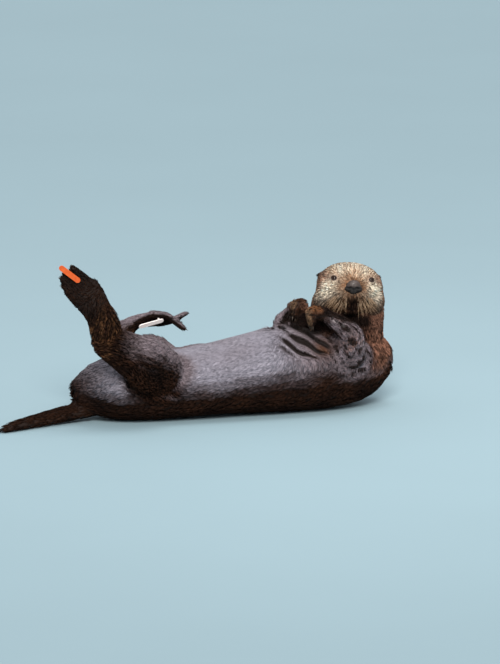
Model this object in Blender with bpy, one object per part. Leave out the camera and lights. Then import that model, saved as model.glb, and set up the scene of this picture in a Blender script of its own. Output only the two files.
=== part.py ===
"""A sea otter lying on its back, life size, as a still museum model.

The head is raised and looks over the animal's left side, both forepaws are folded on the chest, the left hind
foot is lifted clear and the right one is folded forward over the belly. Each hind foot carries a plastic tag.

Frame: +X towards the head, +Z up (the belly side, because the animal lies on its back), -Y the animal's left.
The origin is on the floor under the middle of the back. Metres throughout.
"""

import math

import bmesh
import bpy
import numpy as np
from mathutils import Euler, Matrix, Vector

# Driving dimensions of an adult of 1.2 m from nose to tail tip.
TRUNK_LENGTH = 0.735  # front of the breast to the rump
TRUNK_WIDTH = 0.268
TRUNK_DEPTH = 0.200  # back to breast
HEAD_WIDTH = 0.160  # across the cheek fur
HEAD_LENGTH = 0.166  # occiput to nose
HEAD_DEPTH = 0.120  # crown to jaw
TAIL_LENGTH = 0.275
TAIL_WIDTH = 0.074
EYE_RADIUS = 0.0078
EAR_LENGTH = 0.023
TAG_LENGTH, TAG_WIDTH, TAG_THICKNESS = 0.060, 0.0125, 0.0018

SEAM = 0.0004  # gap left between two parts that meet
FLOOR = 0.0

# The head's place and turn: it faces over the left flank, nose a little up.
HEAD_CENTRE = Vector((0.260, -0.012, 0.277))
HEAD_TURN = Euler((math.radians(6.0), math.radians(-4.0), math.radians(168.5)), "XYZ")


# ---------------------------------------------------------------- shaping tools


def through(rows, count):
    """count rows on a smooth curve (Catmull-Rom) through the given rows of numbers."""
    rows = np.array(rows, float)
    ends = np.vstack([2 * rows[0] - rows[1], rows, 2 * rows[-1] - rows[-2]])
    at = np.linspace(0, len(rows) - 1, count)
    i = np.minimum(at.astype(int), len(rows) - 2)
    f = (at - i)[:, None]
    a, b, c, d = ends[i], ends[i + 1], ends[i + 2], ends[i + 3]
    return 0.5 * (2 * b + (c - a) * f + (2 * a - 5 * b + 4 * c - d) * f**2 + (3 * b - a - 3 * c + d) * f**3)


def tube_mesh(stations, across, rings, around, power=2.0, dome=0.8):
    """A closed tube on stations (x, y, z, half width, half depth), with domed ends.

    across is the direction of the width, and each ring is a superellipse of the given power.
    """
    rows = through(stations, rings)
    centres, halves = rows[:, :3], rows[:, 3:5]
    tangents = np.gradient(centres, axis=0)
    tangents /= np.linalg.norm(tangents, axis=1)[:, None]
    angles = np.linspace(0, 2 * math.pi, around, endpoint=False)
    cos, sin = np.cos(angles), np.sin(angles)
    ring = np.stack([np.sign(cos) * abs(cos) ** (2 / power), np.sign(sin) * abs(sin) ** (2 / power)], 1)

    steps = [(math.sin(math.radians(a)), math.cos(math.radians(a))) for a in (0, 35, 65)]
    places = [(0, -out * dome, shrink) for out, shrink in reversed(steps)]
    places += [(k, 0.0, 1.0) for k in range(1, rings - 1)]
    places += [(rings - 1, out * dome, shrink) for out, shrink in steps]

    mesh = bmesh.new()
    loops = []
    for k, out, shrink in places:
        width = Vector(np.cross(np.cross(tangents[k], across), tangents[k])).normalized()
        depth = Vector(tangents[k]).cross(width)
        centre = Vector(centres[k]) + Vector(tangents[k]) * out * min(halves[k])
        wide, deep = width * (halves[k][0] * shrink), depth * (halves[k][1] * shrink)
        loops.append([mesh.verts.new(centre + wide * p + deep * q) for p, q in ring])
    for low, high in zip(loops, loops[1:]):
        for k in range(around):
            mesh.faces.new((low[k], low[(k + 1) % around], high[(k + 1) % around], high[k]))
    for loop, end, way in ((loops[0], 0, -1), (loops[-1], rings - 1, 1)):
        tip = mesh.verts.new(Vector(centres[end]) + Vector(tangents[end]) * (way * dome * min(halves[end])))
        for k in range(around):
            mesh.faces.new((loop[k], loop[(k + 1) % around], tip))
    bmesh.ops.recalc_face_normals(mesh, faces=mesh.faces)
    return mesh


def ellipsoid_mesh(centre, radii, turn=(0, 0, 0), divisions=3):
    """An ellipsoid with its radii along its own axes, turned by Euler angles in degrees."""
    mesh = bmesh.new()
    turned = Euler([math.radians(a) for a in turn]).to_matrix().to_4x4()
    place = Matrix.Translation(centre) @ turned @ Matrix.Diagonal((*radii, 1))
    bmesh.ops.create_icosphere(mesh, subdivisions=divisions, radius=1, matrix=place)
    return mesh


def rounded_plate_mesh(length, width, thickness):
    """A flat strip with half-round ends, along X, centred on the origin and rounded at its edges."""
    mesh = bmesh.new()
    half, straight = width / 2, (length - width) / 2
    outline = []
    for end in (1, -1):
        for k in range(9):
            a = math.radians(-90 + 180 * k / 8)
            x, y = end * (straight + half * math.cos(a)), end * half * math.sin(a)
            outline.append(mesh.verts.new((x, y, -thickness / 2)))
    top = bmesh.ops.extrude_face_region(mesh, geom=[mesh.faces.new(outline)])["geom"]
    top = [v for v in top if isinstance(v, bmesh.types.BMVert)]
    bmesh.ops.translate(mesh, verts=top, vec=(0, 0, thickness))
    bmesh.ops.recalc_face_normals(mesh, faces=mesh.faces)
    return mesh


def material(name, colour, roughness):
    """A Principled finish of one colour."""
    made = bpy.data.materials.get(name) or bpy.data.materials.new(name)
    made.use_nodes = True
    shader = made.node_tree.nodes["Principled BSDF"]
    shader.inputs["Base Color"].default_value = (*colour, 1)
    shader.inputs["Roughness"].default_value = roughness
    return made


def as_object(name, meshes, finish, place=None):
    """One named object holding the given bmeshes, moved by place."""
    data = bpy.data.meshes.new(name)
    whole = bmesh.new()
    for mesh in meshes:
        mesh.to_mesh(data)
        mesh.free()
        whole.from_mesh(data)
    whole.to_mesh(data)
    whole.free()
    if place is not None:
        data.transform(place)
    data.materials.append(finish)
    data.shade_smooth()
    made = bpy.data.objects.new(name, data)
    bpy.context.scene.collection.objects.link(made)
    return made


def settle(obj):
    """Replaces the object's mesh with the one its modifiers give, and removes them."""
    bpy.context.view_layer.update()
    graph = bpy.context.evaluated_depsgraph_get()
    data = bpy.data.meshes.new_from_object(obj.evaluated_get(graph))
    obj.modifiers.clear()
    obj.data = data
    return obj


def fuse(obj, voxel, smoothing, triangles):
    """Melts overlapping shapes into one skin: voxel remesh, smoothing, then fewer triangles."""
    remesh = obj.modifiers.new("melt", "REMESH")
    remesh.mode = "VOXEL"
    remesh.voxel_size = voxel
    soften = obj.modifiers.new("soften", "SMOOTH")
    soften.iterations = smoothing
    settle(obj)
    fewer = obj.modifiers.new("fewer", "DECIMATE")
    fewer.ratio = triangles / (2 * len(obj.data.polygons))
    return settle(obj)


def copy_of(obj, name):
    """A second object with its own copy of the mesh."""
    made = bpy.data.objects.new(name, obj.data.copy())
    bpy.context.scene.collection.objects.link(made)
    return made


def combine(obj, other, operation, grow_by=0.0):
    """Cuts obj with a grown copy of another shape (or joins it on) and keeps the result."""
    tool = copy_of(other, obj.name + "_" + operation.lower())
    tool.hide_render = True
    tool.display_type = "WIRE"
    if grow_by:
        grow = tool.modifiers.new("grow", "DISPLACE")
        grow.strength = grow_by
        grow.mid_level = 0
    cut = obj.modifiers.new("cut", "BOOLEAN")
    cut.operation = operation
    cut.object = tool
    settle(obj)
    bpy.data.objects.remove(tool)
    return obj


def keep_largest(obj):
    """Drops the crumbs that a cut can leave beside the main solid."""
    mesh = bmesh.new()
    mesh.from_mesh(obj.data)
    unseen, islands = set(mesh.verts), []
    while unseen:
        front = [unseen.pop()]
        island = list(front)
        while front:
            vert = front.pop()
            for edge in vert.link_edges:
                other = edge.other_vert(vert)
                if other in unseen:
                    unseen.remove(other)
                    island.append(other)
                    front.append(other)
        islands.append(island)
    islands.sort(key=len)
    bmesh.ops.delete(mesh, geom=[v for island in islands[:-1] for v in island], context="VERTS")
    mesh.to_mesh(obj.data)
    mesh.free()
    return obj


def part_off(body, region, name):
    """Takes the body's share inside a region as a part of its own and leaves a seam round it."""
    part = combine(copy_of(body, name), region, "INTERSECT")
    combine(body, region, "DIFFERENCE", SEAM)
    keep_largest(body)
    bpy.data.objects.remove(region)
    return keep_largest(part)


def cut_flat(obj, point, outward):
    """Removes what lies beyond a plane and closes the cut with a flat face."""
    mesh = bmesh.new()
    mesh.from_mesh(obj.data)
    everything = mesh.verts[:] + mesh.edges[:] + mesh.faces[:]
    bmesh.ops.bisect_plane(
        mesh, geom=everything, dist=1e-6, plane_co=point, plane_no=outward, clear_outer=True
    )
    rim = [edge for edge in mesh.edges if edge.is_boundary]
    bmesh.ops.holes_fill(mesh, edges=rim, sides=0)
    bmesh.ops.triangulate(mesh, faces=mesh.faces[:])
    mesh.to_mesh(obj.data)
    mesh.free()
    return obj


def join_on(obj, name, meshes):
    """Joins small closed shapes on to an object without melting them."""
    extra = as_object(name, meshes, obj.data.materials[0])
    combine(obj, extra, "UNION")
    bpy.data.objects.remove(extra)
    return obj


# ---------------------------------------------------------------- finishes

WET_FUR = material("wet_fur", (0.085, 0.052, 0.040), 0.35)
FACE_FUR = material("face_fur", (0.50, 0.36, 0.22), 0.75)
PAW_FUR = material("paw_fur", (0.12, 0.060, 0.032), 0.6)
NOSE_LEATHER = material("nose_leather", (0.030, 0.026, 0.028), 0.4)
EYE = material("eye", (0.010, 0.006, 0.004), 0.06)
ORANGE_TAG = material("orange_tag", (0.95, 0.20, 0.02), 0.45)
PALE_TAG = material("pale_tag", (0.82, 0.78, 0.76), 0.45)


# ---------------------------------------------------------------- trunk, neck, tail


def trunk_mesh():
    """Breast, belly and rump: shares of the length, half width and depth, from the rump forwards."""
    profile = (  # place along, half width, top, bottom
        (0.012, 0.40, 0.50, 0.12),
        (0.070, 0.66, 0.66, 0.03),
        (0.150, 0.84, 0.76, -0.015),
        (0.250, 0.93, 0.79, -0.020),
        (0.350, 0.96, 0.775, -0.010),
        (0.450, 0.98, 0.81, 0.000),
        (0.560, 1.00, 0.89, -0.010),
        (0.670, 1.00, 0.97, -0.020),
        (0.780, 0.94, 1.00, -0.018),
        (0.870, 0.82, 1.00, 0.020),
        (0.940, 0.64, 0.95, 0.130),
        (0.985, 0.44, 0.86, 0.290),
    )
    rows = []
    for along, wide, top, bottom in profile:
        x = (along - 0.53) * TRUNK_LENGTH
        z = (top + bottom) / 2 * TRUNK_DEPTH
        rows.append((x, 0, z, wide * TRUNK_WIDTH / 2, (top - bottom) / 2 * TRUNK_DEPTH))
    return tube_mesh(rows, (0, 1, 0), 22, 30, power=2.25, dome=0.5)


def neck_mesh():
    """A thick column from the breast up into the head, with a ruff as wide as the head."""
    wide = HEAD_WIDTH / 2
    rows = (
        (0.245, 0.004, 0.085, wide * 1.00, wide * 0.95),
        (0.258, 0.004, 0.140, wide * 1.00, wide * 0.95),
        (0.261, 0.000, 0.190, wide * 1.04, wide * 0.94),
        (0.257, -0.002, 0.235, wide * 1.06, wide * 0.90),
        (0.259, -0.004, 0.262, wide * 0.92, wide * 0.80),
    )
    across = HEAD_TURN.to_matrix() @ Vector((1, 0, 0))
    return tube_mesh(rows, across, 10, 26, power=2.1, dome=0.4)


def tail_rows(swell=0.0):
    """A flattened, tapering tail laid on the floor, its tip swung to the animal's left."""
    rows = []
    for share, wide, thick in (
        (-0.10, 0.95, 0.72),
        (0.05, 1.00, 0.62),
        (0.20, 1.00, 0.52),
        (0.45, 0.96, 0.42),
        (0.70, 0.82, 0.34),
        (0.88, 0.60, 0.27),
        (0.97, 0.36, 0.18),
    ):
        sweep = math.radians(38) * share
        reach = TAIL_LENGTH * share
        half_thick = thick * TAIL_WIDTH / 2
        x = -0.335 - reach * math.cos(sweep / 2)
        y = -reach * math.sin(sweep / 2)
        lift = 0.012 * max(0, 1 - share) ** 3
        rows.append((x, y, half_thick * 0.94 + lift, wide * TAIL_WIDTH / 2 + swell, half_thick + swell))
    return rows


# ---------------------------------------------------------------- head


def head_place():
    """From the head's own frame (+X its right, +Y forwards, +Z up) to the world."""
    return Matrix.Translation(HEAD_CENTRE) @ HEAD_TURN.to_matrix().to_4x4()


def make_head():
    """Broad domed skull with full cheeks, a short blunt muzzle, whisker pads and a small chin."""
    wide, high, long = HEAD_WIDTH / 2, HEAD_DEPTH, HEAD_LENGTH
    skull = (  # forwards in shares of the length, half width, top, bottom in shares of the depth
        (-0.400, 0.64, 0.300, -0.42),
        (-0.320, 0.81, 0.410, -0.52),
        (-0.180, 0.93, 0.475, -0.56),
        (0.000, 0.97, 0.490, -0.60),
        (0.120, 0.95, 0.465, -0.60),
        (0.210, 0.87, 0.410, -0.58),
        (0.290, 0.72, 0.320, -0.52),
        (0.360, 0.54, 0.225, -0.44),
        (0.425, 0.38, 0.140, -0.34),
    )
    rows = [
        (0, y * long, (top + low) / 2 * high, x * wide, (top - low) / 2 * high) for y, x, top, low in skull
    ]
    shapes = [tube_mesh(rows, (1, 0, 0), 20, 30, power=2.2, dome=0.5)]
    for side in (1, -1):
        cheek = (side * 0.52 * wide, 0.06 * long, -0.22 * high)
        shapes.append(ellipsoid_mesh(cheek, (0.51 * wide, 0.30 * long, 0.36 * high)))
        pad = (side * 0.21 * wide, 0.390 * long, -0.125 * high)
        shapes.append(ellipsoid_mesh(pad, (0.29 * wide, 0.130 * long, 0.165 * high), (0, 0, -side * 16)))
        brow = (side * 0.44 * wide, 0.215 * long, 0.285 * high)
        shapes.append(ellipsoid_mesh(brow, (0.24 * wide, 0.080 * long, 0.070 * high)))
    bridge = (0, 0.375 * long, 0.100 * high)
    shapes.append(ellipsoid_mesh(bridge, (0.24 * wide, 0.115 * long, 0.13 * high), (-25, 0, 0)))
    shapes.append(ellipsoid_mesh((0, 0.350 * long, -0.34 * high), (0.30 * wide, 0.13 * long, 0.12 * high)))
    throat = neck_mesh()
    throat.transform(head_place().inverted())
    return fuse(as_object("head", [*shapes, throat], FACE_FUR, head_place()), 0.0032, 12, 1570)


def make_nose():
    """The bare nose pad: broad at the nostrils, narrower above, with a cleft below."""
    centre = Vector((0, 0.462 * HEAD_LENGTH, 0.058 * HEAD_DEPTH))
    shapes = [
        ellipsoid_mesh(centre + Vector((0, -0.001, 0.003)), (0.0165, 0.0110, 0.0140), (-14, 0, 0)),
        ellipsoid_mesh(centre + Vector((0, -0.0015, -0.0090)), (0.0105, 0.0095, 0.0090), (10, 0, 0)),
    ]
    for side in (1, -1):
        wing = centre + Vector((side * 0.0110, -0.0015, -0.003))
        shapes.append(ellipsoid_mesh(wing, (0.0098, 0.0100, 0.0088), (0, side * 14, 0)))
    made = as_object("nose", shapes, NOSE_LEATHER, head_place())
    return fuse(made, 0.0012, 5, 260)


def make_eye(name, side):
    """An eyeball set in the face, between brow and cheek."""
    centre = Vector((side * 0.0415, 0.280 * HEAD_LENGTH, 0.189 * HEAD_DEPTH))
    return as_object(name, [ellipsoid_mesh(centre, (EYE_RADIUS,) * 3, divisions=2)], EYE, head_place())


def make_ear(name, side):
    """A short rolled ear low on the side of the head, its tip pointing out and back."""
    root = Vector((side * 0.378 * HEAD_WIDTH, -0.050 * HEAD_LENGTH, 0.212 * HEAD_DEPTH))
    away = Vector((side * 0.64, -0.74, -0.12)).normalized()
    rows = []
    for share, wide, thick in ((0.0, 0.95, 0.62), (0.35, 1.0, 0.60), (0.65, 0.92, 0.48), (0.9, 0.60, 0.34)):
        rows.append((*(root + away * share * EAR_LENGTH), wide * 0.0085, thick * 0.0085))
    shapes = [tube_mesh(rows, (0, 0.25, 1), 5, 10, dome=0.8)]
    return as_object(name, shapes, PAW_FUR, head_place())


# ---------------------------------------------------------------- limbs


def foreleg_rows(shoulder, elbow, wrist, swell=0.0):
    """Upper arm and forearm, thick at the shoulder and slim at the wrist."""
    shoulder, elbow, wrist = Vector(shoulder), Vector(elbow), Vector(wrist)
    places = (
        (shoulder, 0.046, 0.042),
        (shoulder.lerp(elbow, 0.55), 0.041, 0.037),
        (elbow, 0.034, 0.031),
        (elbow.lerp(wrist, 0.55), 0.0265, 0.0245),
        (wrist, 0.0200, 0.0180),
    )
    return [(*place, wide + swell, deep + swell) for place, wide, deep in places]


def hind_leg_rows(hip, knee, heel, ankle, swell=0.0):
    """Heavy thigh in loose skin, drawn up to the knee, and a short shank to the heel and ankle."""
    hip, knee, heel, ankle = Vector(hip), Vector(knee), Vector(heel), Vector(ankle)
    places = (
        (hip, 0.064, 0.060),
        (hip.lerp(knee, 0.55), 0.067, 0.060),
        (knee, 0.060, 0.053),
        (knee.lerp(heel, 0.50), 0.048, 0.045),
        (heel, 0.0335, 0.0335),
        (ankle, 0.0310, 0.0280),
    )
    return [(*place, wide + swell, deep + swell) for place, wide, deep in places]


def region_of(name, rows, across):
    """A clean closed shape just larger than a limb, to part it off with."""
    limb = tube_mesh(rows, across, 12, 16, dome=0.9)
    return fuse(as_object(name + "_region", [limb], WET_FUR), 0.008, 3, 100)


def claw_mesh(tip, along, length, radius):
    """A short tapering claw whose root is sunk in the toe."""
    along = Vector(along).normalized()
    claw = bmesh.new()
    middle = Vector(tip) + along * (length * 0.15)
    place = Matrix.Translation(middle) @ along.to_track_quat("Z", "Y").to_matrix().to_4x4()
    bmesh.ops.create_cone(
        claw, cap_ends=True, segments=6, radius1=radius, radius2=radius * 0.3, depth=length, matrix=place
    )
    return claw


def make_forepaw(name, path, palm_towards):
    """A mitten-like paw on a path of wrist, knuckles and fingertips, with short fingers and claws."""
    wrist, knuckles, tips = (Vector(p) for p in path)
    out, down = (knuckles - wrist).normalized(), (tips - knuckles).normalized()
    palm = Vector(palm_towards)
    across = out.cross(palm).normalized()
    before = wrist - out * 0.006
    middle = wrist.lerp(knuckles, 0.55)
    rows = (
        (*before, 0.0205, 0.0185),
        (*wrist, 0.0205, 0.0180),
        (*middle, 0.0220, 0.0170),
        (*knuckles, 0.0225, 0.0150),
        (*knuckles.lerp(tips, 0.4), 0.0190, 0.0115),
    )
    shapes = [tube_mesh(rows, across, 11, 18, dome=0.7)]
    claws = []
    for k, reach in enumerate((0.84, 0.97, 1.00, 0.90)):
        spread = across * ((k - 1.5) * 0.0108)
        root = knuckles.lerp(tips, 0.15) + spread * 0.9
        end = knuckles.lerp(tips, reach) + spread * 1.1
        finger = ((*root, 0.0076, 0.0080), (*root.lerp(end, 0.5), 0.0074, 0.0078), (*end, 0.0060, 0.0064))
        shapes.append(tube_mesh(finger, across, 5, 10, dome=0.9))
        claws.append(claw_mesh(end + down * 0.006, down.lerp(palm, 0.3), 0.009, 0.0018))
    return join_on(fuse(as_object(name, shapes, PAW_FUR), 0.0024, 3, 340), name + "_claws", claws)


def make_hind_foot(name, instep, toes, across, sole, splay, web_drop):
    """A long webbed flipper: instep from the heel, then five toes joined by web almost to their tips.

    instep is a path of stations, toes the tip of each toe from the first to the fifth with how far it
    arches, across points to the fifth toe and splay is the distance between the toes where they start.
    """
    across, sole = Vector(across).normalized(), Vector(sole).normalized()
    shapes = [tube_mesh(instep, across, 12, 20, power=2.3, dome=0.8)]
    root = Vector(instep[-2][:3])
    paths, claws = [], []
    for k, (tip, arch) in enumerate(toes):
        tip = Vector(tip)
        start = root + across * ((k - 2) * splay)
        middle = start.lerp(tip, 0.52) + sole * arch
        paths.append((start, middle, tip))
        rows = ((*start, 0.0105, 0.0100), (*middle, 0.0098, 0.0090), (*tip, 0.0080, 0.0072))
        shapes.append(tube_mesh(rows, across, 9, 12, dome=0.9))
        claws.append(claw_mesh(tip + (tip - middle).normalized() * 0.0065, tip - middle, 0.0100, 0.0020))
    for near, far in zip(paths, paths[1:]):
        web = []
        for a, b, share in zip(near, far, (1.0, 1.0, 0.9)):
            centre = near[1].lerp(far[1], 0.5).lerp(a.lerp(b, 0.5), share) - sole * web_drop
            web.append((*centre, (a - b).length / 2 + 0.002, 0.0055))
        shapes.append(tube_mesh(web, across, 8, 12, dome=0.8))
    return join_on(fuse(as_object(name, shapes, PAW_FUR), 0.0027, 5, 590), name + "_claws", claws)


def make_tag(name, finish, start, end, face, pin_at, pin_depth):
    """A plastic strip held on the web by a pin, placed by its two ends and the side it shows."""
    start, end = Vector(start), Vector(end)
    x = (end - start).normalized()
    z = Vector(face)
    z = (z - x * z.dot(x)).normalized()
    place = Matrix.Translation((start + end) / 2) @ Matrix((x, z.cross(x), z)).transposed().to_4x4()
    made = as_object(name, [rounded_plate_mesh(TAG_LENGTH, TAG_WIDTH, TAG_THICKNESS)], finish, place)
    pin = bmesh.new()
    upright = place @ Matrix.Translation((pin_at * TAG_LENGTH, 0, -pin_depth / 2 + TAG_THICKNESS / 4))
    bmesh.ops.create_cone(
        pin, cap_ends=True, segments=12, radius1=0.0024, radius2=0.0024, depth=pin_depth, matrix=upright
    )
    return join_on(made, name + "_pin", [pin])


# ---------------------------------------------------------------- the pose

# shoulder, elbow and wrist of each foreleg; wrist, knuckles and fingertips of each paw
LEFT_ARM = ((0.236, -0.088, 0.135), (0.229, -0.122, 0.190), (0.171, -0.106, 0.236))
LEFT_PAW = ((0.169, -0.106, 0.237), (0.139, -0.106, 0.242), (0.137, -0.106, 0.214))
RIGHT_ARM = ((0.205, 0.088, 0.135), (0.136, 0.098, 0.176), (0.154, 0.085, 0.214))
RIGHT_PAW = ((0.155, 0.083, 0.218), (0.168, 0.064, 0.228), (0.154, 0.050, 0.204))
# the loose fur of the breast that fills the hollow between the arms: its middle and its radii
BREAST = ((0.188, 0.018, 0.180), (0.046, 0.044, 0.044))
LEFT_LEG = (  # hip, knee, heel, ankle
    (-0.215, -0.078, 0.118),
    (-0.268, -0.128, 0.160),
    (-0.353, -0.124, 0.205),
    (-0.357, -0.124, 0.240),
)
RIGHT_LEG = (
    (-0.165, 0.075, 0.100),
    (-0.222, 0.120, 0.112),
    (-0.270, 0.109, 0.156),
    (-0.262, 0.108, 0.172),
)
LEFT_INSTEP = (
    (-0.3555, -0.124, 0.230, 0.0350, 0.0320),
    (-0.363, -0.124, 0.258, 0.0335, 0.0280),
    (-0.377, -0.125, 0.282, 0.0335, 0.0240),
    (-0.396, -0.127, 0.312, 0.0380, 0.0180),
    (-0.410, -0.128, 0.333, 0.0385, 0.0120),
)
LEFT_TOES = (  # tip, arch
    ((-0.4415, -0.122, 0.3190), 0.002),
    ((-0.4545, -0.126, 0.3380), 0.003),
    ((-0.4600, -0.130, 0.3560), 0.003),
    ((-0.4540, -0.134, 0.3720), 0.003),
    ((-0.4360, -0.137, 0.3830), 0.002),
)
RIGHT_INSTEP = (
    (-0.266, 0.108, 0.172, 0.0345, 0.0300),
    (-0.243, 0.106, 0.189, 0.0305, 0.0220),
    (-0.214, 0.105, 0.203, 0.0300, 0.0140),
    (-0.188, 0.105, 0.208, 0.0330, 0.0105),
    (-0.172, 0.105, 0.210, 0.0340, 0.0085),
)
RIGHT_TOES = (
    ((-0.1180, 0.060, 0.1890), 0.013),
    ((-0.1180, 0.082, 0.1940), 0.011),
    ((-0.1170, 0.104, 0.1965), 0.006),
    ((-0.1150, 0.126, 0.1970), 0.000),
    ((-0.0850, 0.150, 0.2065), -0.009),
)


def clear_scene():
    for obj in list(bpy.data.objects):
        bpy.data.objects.remove(obj)


def main():
    clear_scene()
    upright, level = (0, 1, 0.2), (0, 0, 1)
    flesh = [trunk_mesh(), neck_mesh(), tube_mesh(tail_rows(), (0, 1, 0), 13, 16, power=2.3, dome=1.0)]
    flesh += [tube_mesh(foreleg_rows(*arm), upright, 14, 18, dome=0.8) for arm in (LEFT_ARM, RIGHT_ARM)]
    flesh += [tube_mesh(hind_leg_rows(*leg), level, 15, 22, dome=0.8) for leg in (LEFT_LEG, RIGHT_LEG)]
    flesh.append(ellipsoid_mesh(*BREAST))
    body = fuse(as_object("trunk", flesh, WET_FUR), 0.0045, 6, 1590)
    cut_flat(body, (0, 0, FLOOR), (0, 0, -1))

    head = make_head()
    around_head = HEAD_CENTRE + Vector((0, 0, 0.030))
    region = as_object("head_region", [ellipsoid_mesh(around_head, (0.125, 0.135, 0.096))], WET_FUR)
    combine(body, region, "DIFFERENCE", SEAM)
    combine(head, region, "INTERSECT")
    bpy.data.objects.remove(region)
    keep_largest(body)

    throat_line = ((0.285, 0, 0.160), (0.272, 0, 0.195), (0.262, 0, 0.260))
    neck_rows = [(x, y, z, 0.106, 0.106) for x, y, z in throat_line]
    parts = {}
    for name, rows, across in (
        ("foreleg_left", foreleg_rows(*LEFT_ARM, swell=0.006), upright),
        ("foreleg_right", foreleg_rows(*RIGHT_ARM, swell=0.006), upright),
        ("hind_leg_left", hind_leg_rows(*LEFT_LEG, swell=0.006), level),
        ("hind_leg_right", hind_leg_rows(*RIGHT_LEG, swell=0.006), level),
        ("tail", tail_rows(swell=0.007), (0, 1, 0)),
        ("neck", neck_rows, upright),
    ):
        parts[name] = part_off(body, region_of(name, rows, across), name)

    paws = {
        "foreleg_left": make_forepaw("forepaw_left", LEFT_PAW, (0.3, 0, -1)),
        "foreleg_right": make_forepaw("forepaw_right", RIGHT_PAW, (0.2, -0.3, -1)),
        "hind_leg_left": make_hind_foot(
            "hind_foot_left", LEFT_INSTEP, LEFT_TOES, (0.72, -0.15, 0.68), (-0.45, -0.85, 0.2), 0.0140, 0.0015
        ),
        "hind_leg_right": make_hind_foot(
            "hind_foot_right", RIGHT_INSTEP, RIGHT_TOES, (0.06, 1.0, -0.60), (0, 0.18, 1), 0.0150, 0.002
        ),
    }
    for leg, paw in paws.items():
        keep_largest(combine(parts[leg], paw, "DIFFERENCE", SEAM))
        keep_largest(combine(body, paw, "DIFFERENCE", SEAM))

    nose = make_nose()
    eyes = [make_eye("eye_right", 1), make_eye("eye_left", -1)]
    ears = [make_ear("ear_right", 1), make_ear("ear_left", -1)]
    for piece in (nose, *eyes, *ears):
        combine(head, piece, "DIFFERENCE", SEAM)

    start, end = (-0.471, -0.149, 0.390), (-0.423, -0.149, 0.352)
    tag_left = make_tag("tag_left", ORANGE_TAG, start, end, (-0.25, -0.95, -0.1), 0.36, 0.022)
    start, end = (-0.2215, 0.070, 0.1962), (-0.1620, 0.069, 0.2095)
    tag_right = make_tag("tag_right", PALE_TAG, start, end, (0.1, -0.8, -0.6), 0.34, 0.026)
    combine(paws["hind_leg_left"], tag_left, "DIFFERENCE", SEAM)
    combine(paws["hind_leg_right"], tag_right, "DIFFERENCE", SEAM)


main()
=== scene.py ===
"""Looks of the sea otter: one skin in place of the flesh solids, a wet coat of mesh tufts, eyes, nose,
whiskers, claws and tags, on a pale floor in soft light.

Frame: +X towards the head, +Z up, which is the belly side because the animal lies on its back, and -Y the
animal's left.
"""

import math

import bmesh
import bpy
import numpy as np
from mathutils import Matrix, Vector


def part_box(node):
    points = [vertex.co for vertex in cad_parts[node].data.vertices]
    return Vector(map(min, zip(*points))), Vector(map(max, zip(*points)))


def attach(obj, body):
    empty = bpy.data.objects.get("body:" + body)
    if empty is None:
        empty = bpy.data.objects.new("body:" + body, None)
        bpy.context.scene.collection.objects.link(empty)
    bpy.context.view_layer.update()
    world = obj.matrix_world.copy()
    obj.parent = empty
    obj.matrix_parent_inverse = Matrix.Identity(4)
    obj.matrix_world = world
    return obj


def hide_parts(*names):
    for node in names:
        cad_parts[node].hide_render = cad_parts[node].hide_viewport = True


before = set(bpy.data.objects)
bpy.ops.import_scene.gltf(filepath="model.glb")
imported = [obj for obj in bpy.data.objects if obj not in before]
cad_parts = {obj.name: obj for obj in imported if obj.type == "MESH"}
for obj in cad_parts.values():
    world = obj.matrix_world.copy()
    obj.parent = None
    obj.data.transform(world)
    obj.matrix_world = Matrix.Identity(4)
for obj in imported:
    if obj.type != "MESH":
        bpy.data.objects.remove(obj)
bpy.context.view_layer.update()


# ---------------------------------------------------------------- camera, floor and light
# A long lens a little above the animal's left side. The animal lies on a wide matt floor of pale grey-blue,
# under an even bright sky, a hazy sun from the front and one broad soft lamp overhead.

VIEW_AZIMUTH = math.radians(-17.0)
VIEW_ELEVATION = math.radians(11.0)
VIEW_DISTANCE = 18.0
VIEW_HEIGHT = 1.527  # what the view takes in from top to bottom, at the animal
SENSOR = 36.0
AIM_RIGHT, AIM_UP = 0.023, 0.1817  # the middle of the view, seen from the origin


def add_object(name, data):
    """An object with that data, in the scene, at the origin."""
    made = bpy.data.objects.new(name, data)
    bpy.context.scene.collection.objects.link(made)
    return made


back = Vector(
    (
        math.sin(VIEW_AZIMUTH) * math.cos(VIEW_ELEVATION),
        -math.cos(VIEW_AZIMUTH) * math.cos(VIEW_ELEVATION),
        math.sin(VIEW_ELEVATION),
    )
)
right = Vector((math.cos(VIEW_AZIMUTH), math.sin(VIEW_AZIMUTH), 0))
camera = add_object("camera", bpy.data.cameras.new("camera"))
camera.data.sensor_width = SENSOR
camera.data.lens = SENSOR * VIEW_DISTANCE / VIEW_HEIGHT
camera.data.clip_end = 200
camera.location = right * AIM_RIGHT + back.cross(right) * AIM_UP + back * VIEW_DISTANCE
camera.rotation_euler = back.to_track_quat("Z", "Y").to_euler()
bpy.context.scene.camera = camera
bpy.context.scene.view_settings.view_transform = "Standard"


class Socket:
    """A value in a material; arithmetic on it adds Math nodes."""

    def __init__(self, finish, link):
        self.finish = finish
        self.link = link

    def math(self, operation, first, second):
        return self.finish.node("Math", {"operation": operation}, {0: first, 1: second})

    def __add__(self, other):
        return self.math("ADD", self, other)

    def __radd__(self, other):
        return self.math("ADD", other, self)

    def __sub__(self, other):
        return self.math("SUBTRACT", self, other)

    def __rsub__(self, other):
        return self.math("SUBTRACT", other, self)

    def __mul__(self, other):
        return self.math("MULTIPLY", self, other)

    def __rmul__(self, other):
        return self.math("MULTIPLY", other, self)


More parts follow.
